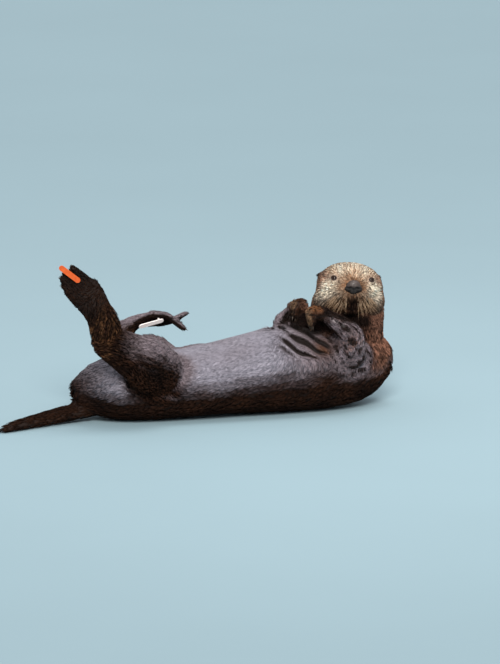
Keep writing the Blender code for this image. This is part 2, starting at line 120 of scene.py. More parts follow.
class Finish:
    """A material that ends in a Principled shader."""

    def __init__(self, name, constants=None):
        self.material = bpy.data.materials.new(name)
        self.material.use_nodes = True
        self.tree = self.material.node_tree
        self.shader = self.tree.nodes["Principled BSDF"]
        self.surface(constants or {})

    def feed(self, node, values):
        for place, value in values.items():
            if isinstance(value, Socket):
                self.tree.links.new(value.link, node.inputs[place])
            elif isinstance(value, tuple) and len(value) == 3 and node.inputs[place].type == "RGBA":
                node.inputs[place].default_value = (*value, 1)
            else:
                node.inputs[place].default_value = value

    def surface(self, values):
        """Values or links for the shader's own sockets."""
        self.feed(self.shader, values)

    def node(self, kind, settings=None, values=None, out=0):
        """A node of that type: its settings are made first, then its sockets get values or links."""
        made = self.tree.nodes.new("ShaderNode" + kind)
        for name, value in (settings or {}).items():
            setattr(made, name, value)
        self.feed(made, values or {})
        return Socket(self, made.outputs[out])

    def mix(self, share, low, high):
        """A colour between two, by a share from 0 to 1."""
        return self.node("Mix", {"data_type": "RGBA"}, {0: share, 6: low, 7: high}, out=2)

    def dimmed(self, colour, share):
        """A colour scaled down to a share of itself."""
        return self.node("VectorMath", {"operation": "SCALE"}, {0: colour, "Scale": share})

    def attribute(self, name, out=2):
        return self.node("Attribute", {"attribute_name": name}, out=out)

    def noise(self, scale, detail=2.0, stretch=(1, 1, 1)):
        """Noise on the object's own coordinates, in cells per metre, drawn out along axes whose stretch is
        below 1."""
        place = self.node("TexCoord", out=3)
        place = self.node("Mapping", None, {0: place, 3: stretch})
        return self.node("TexNoise", None, {0: place, 2: scale, 3: detail})

    def bump(self, height, distance, strength=1.0):
        return self.node("Bump", None, {"Height": height, "Distance": distance, "Strength": strength})


def mottled(name, constants, scale, low, high):
    """A finish whose colour wanders between two, in so many patches per metre."""
    finish = Finish(name, constants)
    finish.surface({"Base Color": finish.mix(finish.noise(scale), low, high)})
    return finish


FLOOR_COLOUR = (0.262, 0.378, 0.430)
FLOOR_MOTTLE = 0.94  # the floor's darker patches, as a share of its colour
FLOOR_REACH = 80.0
SKY_COLOUR = (0.90, 0.91, 0.94)
SKY_STRENGTH = 0.70

floor_data = bpy.data.meshes.new("floor")
corners = [(x * FLOOR_REACH, y * FLOOR_REACH, 0) for x, y in ((-1, -1), (1, -1), (1, 1), (-1, 1))]
floor_data.from_pydata(corners, [], [(0, 1, 2, 3)])
floor = add_object("floor", floor_data)
floor_patches = tuple(FLOOR_MOTTLE * c for c in FLOOR_COLOUR)
floor_finish = mottled("matt_floor", {"Roughness": 0.9}, 1.5, FLOOR_COLOUR, floor_patches)
floor_data.materials.append(floor_finish.material)

world = bpy.data.worlds.new("sky")
world.use_nodes = True
sky = world.node_tree.nodes["Background"].inputs
sky["Color"].default_value = (*SKY_COLOUR, 1)
sky["Strength"].default_value = SKY_STRENGTH
bpy.context.scene.world = world


def add_lamp(name, kind, place, size, power, colour):
    """A lamp aimed at the origin from its place: a square one of that width, or a sun of that angle."""
    lamp = bpy.data.lights.new(name, kind)
    if kind == "SUN":
        lamp.angle = size
    else:
        lamp.size = size
    lamp.energy = power
    lamp.color = colour
    made = add_object(name, lamp)
    made.location = place
    made.rotation_euler = Vector(place).to_track_quat("Z", "Y").to_euler()


add_lamp("overhead", "AREA", (0.6, -0.6, 2.6), 1.6, 34, (1.0, 0.97, 0.94))
add_lamp("front", "SUN", (-0.9, -3.0, 1.9), 0.33, 4.3, (1.0, 0.96, 0.91))


# ---------------------------------------------------------------- skin
# The animal's hide: one closed surface over trunk, neck, head, limbs and tail, lying under the solids by the
# depth of the coat. It is made from a merged copy of the solids, melted together, then drawn in and folded.

FLESH = (
    "trunk",
    "neck",
    "tail",
    "head",
    "ear_left",
    "ear_right",
    "foreleg_left",
    "foreleg_right",
    "forepaw_left",
    "forepaw_right",
    "hind_leg_left",
    "hind_leg_right",
    "hind_foot_left",
    "hind_foot_right",
)
SKIN_CELL = 0.0035
SKIN_SMOOTHING = 3
SKIN_LOWEST = 0.0012  # above the floor, so that the coat fits under it
EYE_DETAIL = 0.0165  # how far from an eye's middle the skin has a finer mesh

# Middle lines of the limbs, neck and tail: x, y, z and radius, root first.
MIDDLE_LINES = {
    "foreleg_left": (
        (0.236, -0.088, 0.135, 0.048),
        (0.229, -0.122, 0.190, 0.040),
        (0.171, -0.106, 0.236, 0.025),
        (0.139, -0.106, 0.241, 0.020),
        (0.137, -0.106, 0.211, 0.017),
    ),
    "foreleg_right": (
        (0.205, 0.088, 0.135, 0.048),
        (0.136, 0.098, 0.176, 0.044),
        (0.154, 0.085, 0.214, 0.029),
        (0.168, 0.064, 0.228, 0.019),
        (0.154, 0.050, 0.202, 0.016),
    ),
    "hind_leg_left": (
        (-0.215, -0.078, 0.118, 0.064),
        (-0.268, -0.128, 0.160, 0.060),
        (-0.353, -0.124, 0.205, 0.038),
        (-0.363, -0.124, 0.258, 0.034),
        (-0.396, -0.127, 0.312, 0.038),
        (-0.450, -0.130, 0.360, 0.040),
    ),
    "hind_leg_right": (
        (-0.165, 0.075, 0.100, 0.064),
        (-0.222, 0.120, 0.112, 0.060),
        (-0.270, 0.109, 0.158, 0.038),
        (-0.243, 0.106, 0.189, 0.032),
        (-0.188, 0.105, 0.208, 0.035),
        (-0.105, 0.105, 0.196, 0.054),
    ),
    "neck": ((0.262, 0.000, 0.245, 0.084), (0.258, 0.004, 0.140, 0.082)),
    "tail": (
        (-0.330, -0.006, 0.035, 0.038),
        (-0.450, -0.035, 0.020, 0.034),
        (-0.597, -0.088, 0.008, 0.018),
    ),
}
NOSE_DROP = math.radians(32.7)  # how far the line from the eyes to the nose dips below straight ahead


def centre_of(node):
    low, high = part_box(node)
    return (low + high) / 2


# The head's own axes: origin between the eyes, x to its right, y straight ahead, z up.
eye_right, eye_left = centre_of("eye_right"), centre_of("eye_left")
nose_centre = centre_of("nose")
between_eyes = (eye_right + eye_left) / 2
head_x = (eye_right - eye_left).normalized()
to_nose = nose_centre - between_eyes
to_nose = (to_nose - head_x * to_nose.dot(head_x)).normalized()
head_y = Matrix.Rotation(NOSE_DROP, 3, head_x) @ to_nose
head_z = head_x.cross(head_y)
HEAD_AXES = np.array([head_x, head_y, head_z])


def axes_about(forward, up):
    """Three unit axes: forward, then sideways, then up, as rows."""
    forward = Vector(forward).normalized()
    sideways = Vector(up).cross(forward).normalized()
    return np.array((forward, sideways, forward.cross(sideways)))


EYE_RADIUS = (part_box("eye_left")[1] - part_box("eye_left")[0]).x / 2
EYE_SIDE = 0.0415  # from the head's middle plane to an eye's middle
EYE_OPENING = (0.0066, 0.0051)  # half width and half height of the opening between the lids
LID_THICKNESS = 0.0012
LID_REACH = 0.0125  # how far from an eye's middle line the lids run out into the face
LID_CREASE = 0.0007  # depth of the crease in the upper lid
BALL_REACH = 0.0068  # how far from an eye's middle line the ball's own curve is followed
BEHIND_BALL = 0.0025  # how far the skin inside the opening lies under the ball's surface
EYES = {
    name: (
        np.array(centre_of(name)),
        axes_about(Vector((sign * 0.40, 0.90, 0.16)) @ Matrix(HEAD_AXES), head_z),
    )
    for name, sign in (("eye_right", 1), ("eye_left", -1))
}


def by_eye(points, name):
    """Points seen from an eye's middle: how far ahead, sideways and up, and how far out, where 1 is the
    lids' edge."""
    centre, axes = EYES[name]
    ahead, sideways, up = ((points - centre) @ axes.T).T
    return ahead, sideways, up, np.hypot(sideways / EYE_OPENING[0], up / EYE_OPENING[1])


def in_head(points):
    """World points in the head's own axes."""
    return (points - np.array(between_eyes)) @ HEAD_AXES.T


def from_head(points):
    """Points given in the head's own axes, in the world."""
    return np.asarray(points) @ HEAD_AXES + np.array(between_eyes)


def ease(low, high, x):
    """0 where x is at low, 1 where it is at high, and a smooth step between."""
    t = np.clip((x - low) / (high - low), 0, 1)
    return t * t * (3 - 2 * t)


def moved(values, share, target):
    """Values moved towards a target by a share: 0 leaves them, 1 gives the target."""
    return values * (1 - share) + target * share


def spot(points, centre, radii):
    """A soft round mask: 1 at the centre, falling as a bell curve over the radii."""
    away = (points - np.array(centre)) / np.array(radii)
    return np.exp(-(away**2).sum(-1))


def unit(vectors):
    return vectors / np.maximum(np.linalg.norm(vectors, axis=-1, keepdims=True), 1e-9)


def slow_waves(points, scale, shift=0.0):
    """A smooth irregular field between about -1 and 1: crossed sine waves of a given number per metre."""
    x, y, z = (points * scale).T
    a = np.sin(x + 1.3 * np.sin(y * 0.8 + shift) + shift)
    b = np.sin(y * 1.1 + 1.2 * np.sin(z * 0.9 + 2 * shift) + 1.7)
    c = np.sin(z * 1.2 + 1.4 * np.sin(x * 0.7 - shift) + 3.1)
    return (a + b + c) / 3


def near_line(points, line):
    """For each point: its distance from a middle line over the line's radius there, its share along the
    line, and the line's direction there."""
    line = np.array(line)
    best = np.full(len(points), 1e9)
    share = np.zeros(len(points))
    heading = np.zeros((len(points), 3))
    for k, (a, b) in enumerate(zip(line, line[1:])):
        step = b[:3] - a[:3]
        t = np.clip((points - a[:3]) @ step / (step @ step), 0, 1)
        away = np.linalg.norm(points - a[:3] - t[:, None] * step, axis=1) / (a[3] + t * (b[3] - a[3]))
        closer = away < best
        best = np.where(closer, away, best)
        share = np.where(closer, (k + t) / (len(line) - 1), share)
        heading = np.where(closer[:, None], step / np.linalg.norm(step), heading)
    return best, share, heading


def along_limb(at, name, start, end):
    """How much each point belongs to a stretch of a limb: none where its share along the limb is at start,
    all of it where that is at end."""
    return at[name] * ease(start, end, at[name + "_share"])


def regions(points):
    """Where each point lies on the animal: shares from 0 to 1 of head, neck, limbs, feet and tail."""
    at = {"head_points": in_head(points)}
    h = at["head_points"]
    away = np.linalg.norm(points - from_head((0, -0.050, -0.030)), axis=1)
    at["head"] = ease(0.126, 0.108, away) * ease(-0.112, -0.088, h[:, 2])
    for name, line in MIDDLE_LINES.items():
        ratio, share, heading = near_line(points, line)
        at[name] = ease(1.38, 1.12, ratio) * (1 - at["head"])
        at[name + "_close"] = ease(1.12, 0.96, ratio)
        at[name + "_share"] = share
        at[name + "_heading"] = heading
    at["foot"] = np.zeros(len(points))
    for name, start in (("hind_leg_left", 0.62), ("hind_leg_right", 0.56)):
        at["foot"] += along_limb(at, name, start, start + 0.12)
    at["paw"] = np.zeros(len(points))
    for name in ("foreleg_left", "foreleg_right"):
        at["paw"] += along_limb(at, name, 0.46, 0.60)
    at["ends"] = np.clip(at["foot"] + at["paw"], 0, 1)
    limbs = sum(at[name] for name in MIDDLE_LINES if name not in ("neck", "tail"))
    at["limbs"] = np.clip(limbs, 0, 1)
    at["neck"] = at["neck"] * (1 - at["limbs"])
    return at


def coat_depth(points):
    """How far the skin lies under the coat's tips: deepest on neck and head, least on muzzle, lids, ears and
    paws."""
    at = regions(points)
    h = at["head_points"]
    depth = 0.0045 + 0.002 * at["neck"]
    depth = moved(depth, at["head"], 0.0062)
    muzzle = spot(h, (0, 0.030, -0.020), (0.038, 0.030, 0.036))
    for side in (1, -1):
        muzzle = np.maximum(muzzle, spot(h, (side * EYE_SIDE, 0, 0), (0.018, 0.018, 0.016)))
        ear = spot(h, (side * 0.069, -0.064, 0.001), (0.014, 0.016, 0.012))
        depth = moved(depth, ear, 0.0004)
    depth = moved(depth, muzzle, 0.0016)
    depth = moved(depth, at["ends"], 0.0012)
    return np.minimum(depth, 0.0035 + 0.003 * (1 - at["tail"]))


FOLD_SLOPE = math.radians(31)
FOLD_PITCH = 0.0155
FOLD_DEPTH = 0.0080


def folded_patch(points):
    """Where the breast's wet hide lies in folds: 1 inside, 0 outside."""
    patch = spot(points, (0.134, -0.080, 0.172), (0.076, 0.080, 0.046))
    patch = np.maximum(patch, 0.9 * spot(points, (0.118, 0.020, 0.182), (0.048, 0.060, 0.040)))
    return ease(0.34, 0.62, patch)


def chest_folds(points):
    """Loose wet folds that run from the middle of the breast down under the near arm: 0 outside them, 1 in
    a groove. Two waves across slanting lines, bent a little, the wider one weak where a slow field is
    low."""
    x, y, z = points.T
    across = x * math.sin(FOLD_SLOPE) + z * math.cos(FOLD_SLOPE)
    across = across + 0.005 * np.sin(x * 38 + y * 21) + 0.003 * np.sin(z * 90 + 1.0)
    across = across + 0.0015 * np.sin(x * 130)
    wave = 0.5 - 0.5 * np.cos(2 * math.pi * across / FOLD_PITCH)
    small = 0.5 - 0.5 * np.cos(2 * math.pi * across / (0.41 * FOLD_PITCH) + 2.0 * np.sin(x * 70))
    whole = ease(-0.60, 0.15, slow_waves(points, 62.0, 0.7))
    return ease(0.22, 0.70, wave * (0.40 + 0.62 * whole) + 0.16 * small) * folded_patch(points)


def lidded(points):
    """The skin drawn over the eyes. Inside the opening it falls behind the eyeball. Around it the skin lies
    on the ball as lids, with a crease in the upper one, and farther out it keeps its own height."""
    for name in EYES:
        forward = EYES[name][1][0]
        ahead, sideways, up, out = by_eye(points, name)
        away = np.hypot(sideways, up)
        near_ball = np.minimum(away, BALL_REACH)
        over = np.sqrt((EYE_RADIUS + LID_THICKNESS) ** 2 - near_ball**2)
        behind = np.sqrt(EYE_RADIUS**2 - near_ball**2) - BEHIND_BALL
        height = over + (ahead - over) * ease(0.0066, LID_REACH, away)
        height = height - LID_CREASE * np.exp(-(((out - 1.7) / 0.22) ** 2)) * ease(0.0, 0.003, up)
        height = behind + (height - behind) * ease(0.86, 1.06, out)
        near = (away < LID_REACH) & (ahead > -0.006)
        points = np.where(near[:, None], points + (height - ahead)[:, None] * forward, points)
    return points


def mesh_object(name, points, faces, finish=None):
    """A smooth-shaded object at the origin from whole arrays of points and equal-sided faces."""
    points = np.asarray(points, np.float32)
    faces = np.asarray(faces, np.int32)
    data = bpy.data.meshes.new(name)
    data.vertices.add(len(points))
    data.vertices.foreach_set("co", points.ravel())
    data.loops.add(faces.size)
    data.loops.foreach_set("vertex_index", faces.ravel())
    data.polygons.add(len(faces))
    data.polygons.foreach_set("loop_start", np.arange(0, faces.size, faces.shape[1], dtype=np.int32))
    data.update(calc_edges=True)
    data.shade_smooth()
    made = add_object(name, data)
    if finish:
        data.materials.append(finish.material)
    return made


def read_vectors(layer, name):
    """The vectors of a mesh's points or normals, as rows."""
    values = np.empty(len(layer) * 3, np.float32)
    layer.foreach_get(name, values)
    return values.reshape(-1, 3).astype(float)


def write_points(data, points):
    data.vertices.foreach_set("co", np.asarray(points, np.float32).ravel())
    data.update()


def give_attribute(data, name, values):
    """A number or a colour at each point of the mesh, for its material."""
    values = np.asarray(values, np.float32)
    if values.ndim == 1:
        data.attributes.new(name, "FLOAT", "POINT").data.foreach_set("value", values)
    else:
        colours = np.ones((len(values), 4), np.float32)
        colours[:, :3] = values
        data.attributes.new(name, "FLOAT_COLOR", "POINT").data.foreach_set("color", colours.ravel())


def melted(name, nodes, cell, smoothing):
    """A merged copy of the named solids, remeshed to cells of one size and smoothed."""
    whole = bmesh.new()
    for node in nodes:
        whole.from_mesh(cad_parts[node].data)
    bmesh.ops.remove_doubles(whole, verts=whole.verts, dist=1e-6)
    data = bpy.data.meshes.new(name)
    whole.to_mesh(data)
    whole.free()
    made = add_object(name, data)
    remesh = made.modifiers.new("melt", "REMESH")
    remesh.mode = "VOXEL"
    remesh.voxel_size = cell
    soften = made.modifiers.new("soften", "SMOOTH")
    soften.iterations = smoothing
    graph = bpy.context.evaluated_depsgraph_get()
    finished = bpy.data.meshes.new_from_object(made.evaluated_get(graph))
    made.modifiers.clear()
    made.data = finished
    made.data.materials.clear()
    made.data.shade_smooth()
    return made


def refine(data, chosen, cuts):
    """Cuts the edges between chosen points into shorter ones."""
    ends = np.empty(len(data.edges) * 2, np.int32)
    data.edges.foreach_get("vertices", ends)
    picked = np.flatnonzero(chosen[ends.reshape(-1, 2)].all(1))
    whole = bmesh.new()
    whole.from_mesh(data)
    whole.edges.ensure_lookup_table()
    bmesh.ops.subdivide_edges(whole, edges=[whole.edges[k] for k in picked], cuts=cuts, use_grid_fill=True)
    whole.to_mesh(data)
    whole.free()
    data.shade_smooth()


skin = melted("skin", (*FLESH, "eye_left", "eye_right"), SKIN_CELL, SKIN_SMOOTHING)
skin_points = read_vectors(skin.data.vertices, "co")
eye_reach = [np.linalg.norm(skin_points - np.array(eye), axis=1) for eye in (eye_left, eye_right)]
refine(skin.data, np.min(eye_reach, axis=0) < EYE_DETAIL, cuts=3)
refine(skin.data, folded_patch(read_vectors(skin.data.vertices, "co")) > 0.05, cuts=1)
skin_points = read_vectors(skin.data.vertices, "co")
skin_normals = read_vectors(skin.data.vertex_normals, "vector")
skin_points -= skin_normals * coat_depth(skin_points)[:, None]
skin_points -= skin_normals * (FOLD_DEPTH * chest_folds(skin_points))[:, None]
skin_points = lidded(skin_points)
skin_points[:, 2] = np.maximum(skin_points[:, 2], SKIN_LOWEST)
write_points(skin.data, skin_points)
skin_normals = read_vectors(skin.data.vertex_normals, "vector")

# Colours of the coat, dry and wet. The near black serves for painted shade too, and the last two are painted
# sheen: the sky's reflection on the flat wet coat.
CREAM = (0.980, 0.880, 0.710)
BLOND = (0.700, 0.550, 0.400)
WARM_TAN = (0.280, 0.150, 0.085)
FOX = (0.340, 0.180, 0.115)
RED_BROWN = (0.190, 0.090, 0.060)
RUSSET = (0.112, 0.047, 0.023)
GOLDEN = (0.230, 0.108, 0.045)
TAUPE = (0.150, 0.092, 0.056)
WET_BROWN = (0.026, 0.011, 0.006)
BLACK_FUR_AND_SHADE = (0.008, 0.004, 0.003)
PAINTED_SHEEN = (0.175, 0.140, 0.157)
BELLY_PAINTED_SHEEN = (0.245, 0.240, 0.290)


def painted(base, *coats):
    """A colour under coats of others, laid on one after another, each by its own share at each point."""
    for colour, share in coats:
        base = moved(np.asarray(base), np.clip(share, 0, 1)[:, None], np.array(colour))
    return base


def locks(h, count, ragged=1.0):
    """Locks that radiate from the nose over the head: 1 on a pale lock, 0 in the gap beside it. Two waves of
    the angle about the nose, bent by waves of the distance from it; ragged is the weight of the second."""
    angle = np.arctan2(h[:, 0], -0.014 - h[:, 2])
    out = np.linalg.norm(h - np.array((0, 0.028, -0.014)), axis=1)
    wave = np.sin(angle * count + 2.4 * np.sin(out * 85))
    wave = wave + ragged * np.sin(angle * round(count * 1.6) - 2.2 * np.sin(out * 130) + 1.0)
    return ease(-0.7, 0.9, wave)


def streaks(points, along, scale, stretch):
    """Slow waves drawn out along one direction, so that they read as long wisps."""
    along = np.array(along) / np.linalg.norm(along)
    pressed = points - (1 - 1 / stretch) * (points @ along)[:, None] * along
    return slow_waves(pressed, scale, 1.1)


def painted_shade(points, at):
    """Where the wet coat is painted black as shade: the hollow on the breast between the folded paws, the
    grooves of the breast's folds, the chin's shadow on the top of the near forearm, and cracks along the near
    arm, where the parted coat is dark as well as shaded."""
    x, z = points[:, 0], points[:, 2]
    chin_shadow_on_arm = at["foreleg_left"] * ease(-0.003, 0.003, z - 0.228 + 0.30 * (x - 0.189))
    chin_shadow_on_arm = chin_shadow_on_arm * ease(0.158, 0.168, x)
    hollow = ease(0.16, 0.42, spot(points, (0.164, 0.000, 0.206), (0.046, 0.085, 0.032)))
    hollow = hollow * (1 - at["foreleg_left"]) * (1 - at["foreleg_right_close"])
    arm = along_limb(at, "foreleg_left", 0.50, 0.42)
    cracks = ease(0.10, 0.48, streaks(points, (0.78, -0.22, -0.58), 300.0, 3.5) - 0.12) * arm
    lines = abs(streaks(points, (0.55, -0.30, -0.78), 150.0, 3.0))
    cracks = np.maximum(cracks, ease(0.09, 0.03, lines) * arm)
    return np.max([hollow, chin_shadow_on_arm, chest_folds(points), 0.9 * cracks], axis=0)


def brown_valley(points):
    """The furrow between the near arm and the breast, where the wet fur is open and brown."""
    return spot(points, (0.168, -0.110, 0.160), (0.026, 0.050, 0.026))


def turned_in(normals):
    """1 where the far arm faces the other arm and the neck, 0 on its outer side."""
    return ease(-0.25, 0.15, 0.9 * normals[:, 0] - normals[:, 1])


def slick(points, normals, at):
    """Where the wet coat lies so flat that it shines: belly, breast, arms, thighs and the folded flipper,
    mostly on their upper sides, and not in the brown furrow or in painted shade. Besides gloss and the tufts'
    flat lie, it is where the markings lay a painted sheen, the sky's reflection."""
    x = points[:, 0]
    facing = normals[:, 2] + 0.12 * slow_waves(points, 60.0)
    plain = (1 - at["limbs"]) * (1 - 0.8 * at["tail"]) * ease(-0.40, -0.30, x) * ease(-0.25, 0.45, facing)
    thigh = along_limb(at, "hind_leg_left", 0.36, 0.24) + along_limb(at, "hind_leg_right", 0.40, 0.30)
    wisps = streaks(points, (0.90, 0.0, -0.35), 300.0, 6.0)
    thigh = thigh * ease(-0.10, 0.55, facing + 1.2 * (x + 0.22) + 0.22 * wisps + 0.08)
    flipper = along_limb(at, "hind_leg_right", 0.50, 0.60) * ease(-0.10, 0.45, facing)
    near_arm = 0.9 * at["foreleg_left"] * ease(0.52, 0.40, at["foreleg_left_share"])
    near_arm = near_arm * ease(-0.85, -0.30, facing)
    far_arm = along_limb(at, "foreleg_right", 0.52, 0.44)
    far_arm = far_arm * ease(0.25, 0.60, 0.75 * facing - 0.65 * normals[:, 0]) * (1 - turned_in(normals))
    whole = plain + thigh + flipper + near_arm + far_arm
    broken = np.maximum(brown_valley(points), 0.9 * painted_shade(points, at))
    return np.clip(whole * (1 - at["head"]) * (1 - at["neck"]) * (1 - broken), 0, 1)


def face_markings(points, h):
    """The dry head's colour: pale locks over tan, cream on crown, brows and cheeks, red-brown at the sides
    and back, and a dark beard streaked with tan, with painted shade in black down the beard's middle and
    under the chin. h is the points in the head's axes."""
    pale = locks(h, 58)
    crown = spot(h, (-0.006, -0.020, 0.045), (0.048, 0.055, 0.032))
    face = painted(WARM_TAN, (BLOND, 0.10 + 0.85 * pale), (CREAM, crown * (0.15 + 0.95 * pale)))
    cheeks = np.zeros(len(points))
    for side in (1, -1):
        cheeks = np.maximum(cheeks, spot(h, (side * 0.056, 0.008, -0.031), (0.029, 0.050, 0.024)))
        brow = spot(h, (side * 0.024, 0.005, 0.017), (0.012, 0.030, 0.012))
        around_eye = spot(h, (side * EYE_SIDE, 0.004, 0.000), (0.0105, 0.020, 0.0092))
        face = painted(face, (CREAM, 0.7 * brow), (RED_BROWN, 0.9 * around_eye))
    outer = ease(0.044, 0.058, abs(h[:, 0])) * ease(0.040, 0.000, h[:, 1]) * ease(0.046, 0.030, h[:, 2])
    outer = outer * (1.25 - 0.55 * pale) + 0.9 * ease(-0.080, -0.115, h[:, 1])
    face = painted(face, (RED_BROWN, outer), (CREAM, 1.50 * cheeks * (0.62 + 0.80 * pale)))
    for side in (1, -1):
        jaw = spot(h, (side * 0.072, -0.028, -0.019 + side * 0.011), (0.015, 0.024, 0.033 - side * 0.011))
        ear = spot(h, (side * 0.071, -0.066, 0.001), (0.011, 0.014, 0.011))
        face = painted(face, (FOX, 1.4 * jaw), (WET_BROWN, 1.5 * ear))
    beard = spot(h, (0, 0.020, -0.062), (0.066, 0.060, 0.025))
    # Painted shade: black under the chin, towards the front and the middle.
    under = ease(-0.064, -0.076, h[:, 2] + 0.004 * slow_waves(points, 90.0))
    under = under * ease(0.068, 0.050, abs(h[:, 0] - 0.012)) * ease(-0.050, -0.020, h[:, 1])
    return painted(
        face,
        (WARM_TAN, 1.60 * spot(h, (0, 0.034, -0.014), (0.034, 0.030, 0.022))),
        (WET_BROWN, 2.1 * beard),
        (WARM_TAN, 0.9 * beard * locks(h, 70, 0.35) ** 2),
        # Painted shade: a black strip down the middle of the beard, under the whisker pads.
        (BLACK_FUR_AND_SHADE, 1.5 * spot(h, (0, 0.030, -0.054), (0.011, 0.050, 0.015))),
        (RED_BROWN, ease(-0.060, -0.076, h[:, 2])),
        (BLACK_FUR_AND_SHADE, under),
    )


def markings(points, normals):
    """The coat's colour at each point, the same for skin and tufts. Besides the fur's own colours it holds
    painted sheen on the flat wet coat, painted shade in black in hollows and under the chin, and painted
    highlights and shade on the paws.
    """
    at = regions(points)
    h = at["head_points"]
    fine_waves = slow_waves(points, 780.0, 2.0) + 0.6 * slow_waves(points, 230.0, 0.5)
    leg = along_limb(at, "hind_leg_left", 0.26, 0.42) + along_limb(at, "hind_leg_right", 0.36, 0.46)
    elbow = spot(points, (0.231, -0.150, 0.168), (0.034, 0.040, 0.022)) * ease(-0.1, 0.5, fine_waves)
    arms = along_limb(at, "foreleg_left", 0.50, 0.40)
    # Strength of the painted sheen, weaker and patchy on the near arm.
    sheen = 0.86 + 0.20 * slow_waves(points, 50.0) - arms * (0.10 + 0.40 * slow_waves(points, 110.0, 1.9))
    flat = slick(points, normals, at)
    belly = ease(0.14, 0.05, points[:, 0]) * (1 - at["limbs"])
    wrist = arms * ease(0.34, 0.44, at["foreleg_left_share"]) * ease(0.35, 0.75, normals[:, 2])
    paw = at["paw"] * (0.90 + 0.35 * slow_waves(points, 150.0))
    # Black on the palms and the paws' downward-facing sides: the dark palm, and painted shade underneath.
    palm = ease(0.05, -0.30, normals[:, 2] - 0.45 * normals[:, 0])
    near_paw = at["paw"] * at["foreleg_left"]
    # Painted shade: black low on the near paw's side that faces -Y, between the bent fingers.
    curl_shade = near_paw * ease(-0.55, -0.85, normals[:, 1]) * ease(0.248, 0.241, points[:, 2])
    # Painted shade: black on the far arm's inner side, lighter on its paw.
    far_arm_shade = at["foreleg_right"] * turned_in(normals)
    # Black at the far paw's bottom, where it sinks into the hollow: dark wet fur and painted shade.
    low_paw = at["paw"] * at["foreleg_right"] * ease(0.212, 0.203, points[:, 2])
    # Painted shadow: black under the chin, though not on the near arm.
    throat_shadow = 1.5 * spot(h, (0.022, 0.020, -0.104), (0.060, 0.085, 0.026)) * (1 - at["foreleg_left"])
    colour = painted(
        WET_BROWN,
        (BLACK_FUR_AND_SHADE, 0.50 + 0.5 * slow_waves(points, 70.0, 0.4)),
        (GOLDEN, leg * (0.27 - 0.22 * at["foot"]) * ease(-0.3, 1.0, fine_waves)),
        (BLACK_FUR_AND_SHADE, 0.5 * at["foot"]),
        (RED_BROWN, at["neck"] * (0.80 + 0.50 * fine_waves)),
        (RUSSET, 0.95 * brown_valley(points)),
        # Painted reflection: the sky's lilac sheen on the flat wet coat, bluer and lighter on the belly.
        (PAINTED_SHEEN, flat * sheen),
        (BELLY_PAINTED_SHEEN, 0.8 * belly * flat * sheen),
        (RED_BROWN, 0.8 * elbow),
        (RUSSET, paw * (1 - 0.45 * at["foreleg_right"]) + wrist),
        # Painted highlight: golden on the upward-facing top of the near paw.
        (GOLDEN, 0.50 * near_paw * ease(0.25, 0.85, normals[:, 2]) * ease(-0.5, 0.6, fine_waves)),
        # Painted highlight: taupe on the paws' sides that face -X.
        (TAUPE, 0.85 * at["paw"] * ease(-0.35, -0.70, normals[:, 0])),
        (BLACK_FUR_AND_SHADE, 0.9 * at["paw"] * palm),
        (BLACK_FUR_AND_SHADE, 0.85 * curl_shade * (0.8 + 0.4 * fine_waves)),
        (BLACK_FUR_AND_SHADE, far_arm_shade * (0.95 - 0.40 * at["paw"] * (1 + fine_waves))),
        (BLACK_FUR_AND_SHADE, 0.9 * low_paw),
        (BLACK_FUR_AND_SHADE, throat_shadow),
    )
    colour = moved(colour, at["head"][:, None], face_markings(points, h))
    # Painted shade over all: black in the breast's hollow and fold grooves, the chin's shadow and the arm's
    # cracks.
    return painted(colour, (BLACK_FUR_AND_SHADE, painted_shade(points, at)))


give_attribute(skin.data, "tint", markings(skin_points, skin_normals))
give_attribute(skin.data, "shine", slick(skin_points, skin_normals, regions(skin_points)))

hide = Finish("wet_hide", {"Coat Roughness": 0.28, "Specular IOR Level": 0.14})
tint = hide.attribute("tint", out=0)
shine = hide.attribute("shine")
strands = hide.noise(420, 3.0, stretch=(0.10, 1, 1))
wrinkles = hide.noise(60, 3.0, stretch=(0.30, 1, 1.2))
pores = hide.noise(900, 2.0)
# Painted shade under the tufts: the hide is dimmed to 0.42 of its tint except along streaks and where it is
# slick, so that the slick places read lighter as part of the painted sheen.
hide.surface(
    {
        "Base Color": hide.mix(shine * 0.45 + strands * 0.9 - 0.08, hide.dimmed(tint, 0.42), tint),
        "Roughness": 0.62 - shine * 0.26 + strands * 0.12,
        "Coat Weight": shine * 0.20,
        "Normal": hide.bump(strands + pores * 0.3 + wrinkles * 0.6, 0.0014, 0.8),
    }
)
skin.data.materials.append(hide.material)
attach(skin, "root")
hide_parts(*FLESH)


# ---------------------------------------------------------------- coat
# Fur in clumps: guard hairs stuck together by water into flat pointed locks that lie along the body, and
# stand thicker and looser on the dry head. Each tuft is a closed three-sided spike, bent once, its root sunk
# in the skin.

COAT_SEED = 11
COAT_CLUMPS = 27500
TUFTS_PER_CLUMP = 5
PIECE_LIMIT = 19000  # tufts in one piece
PATCH = 0.003  # width of a tuft's place on the unwrap
CHART_MARGIN = 0.004
CHART_SCALE, CHART_SHRINK = 1.6, 0.96  # the scale tried first, and the step down until every chart fits
TUFT_LOWEST, TIP_LOWEST = 0.0004, 0.0006  # above the floor
UNWRAP_PARTS = ("trunk", "head", *MIDDLE_LINES)


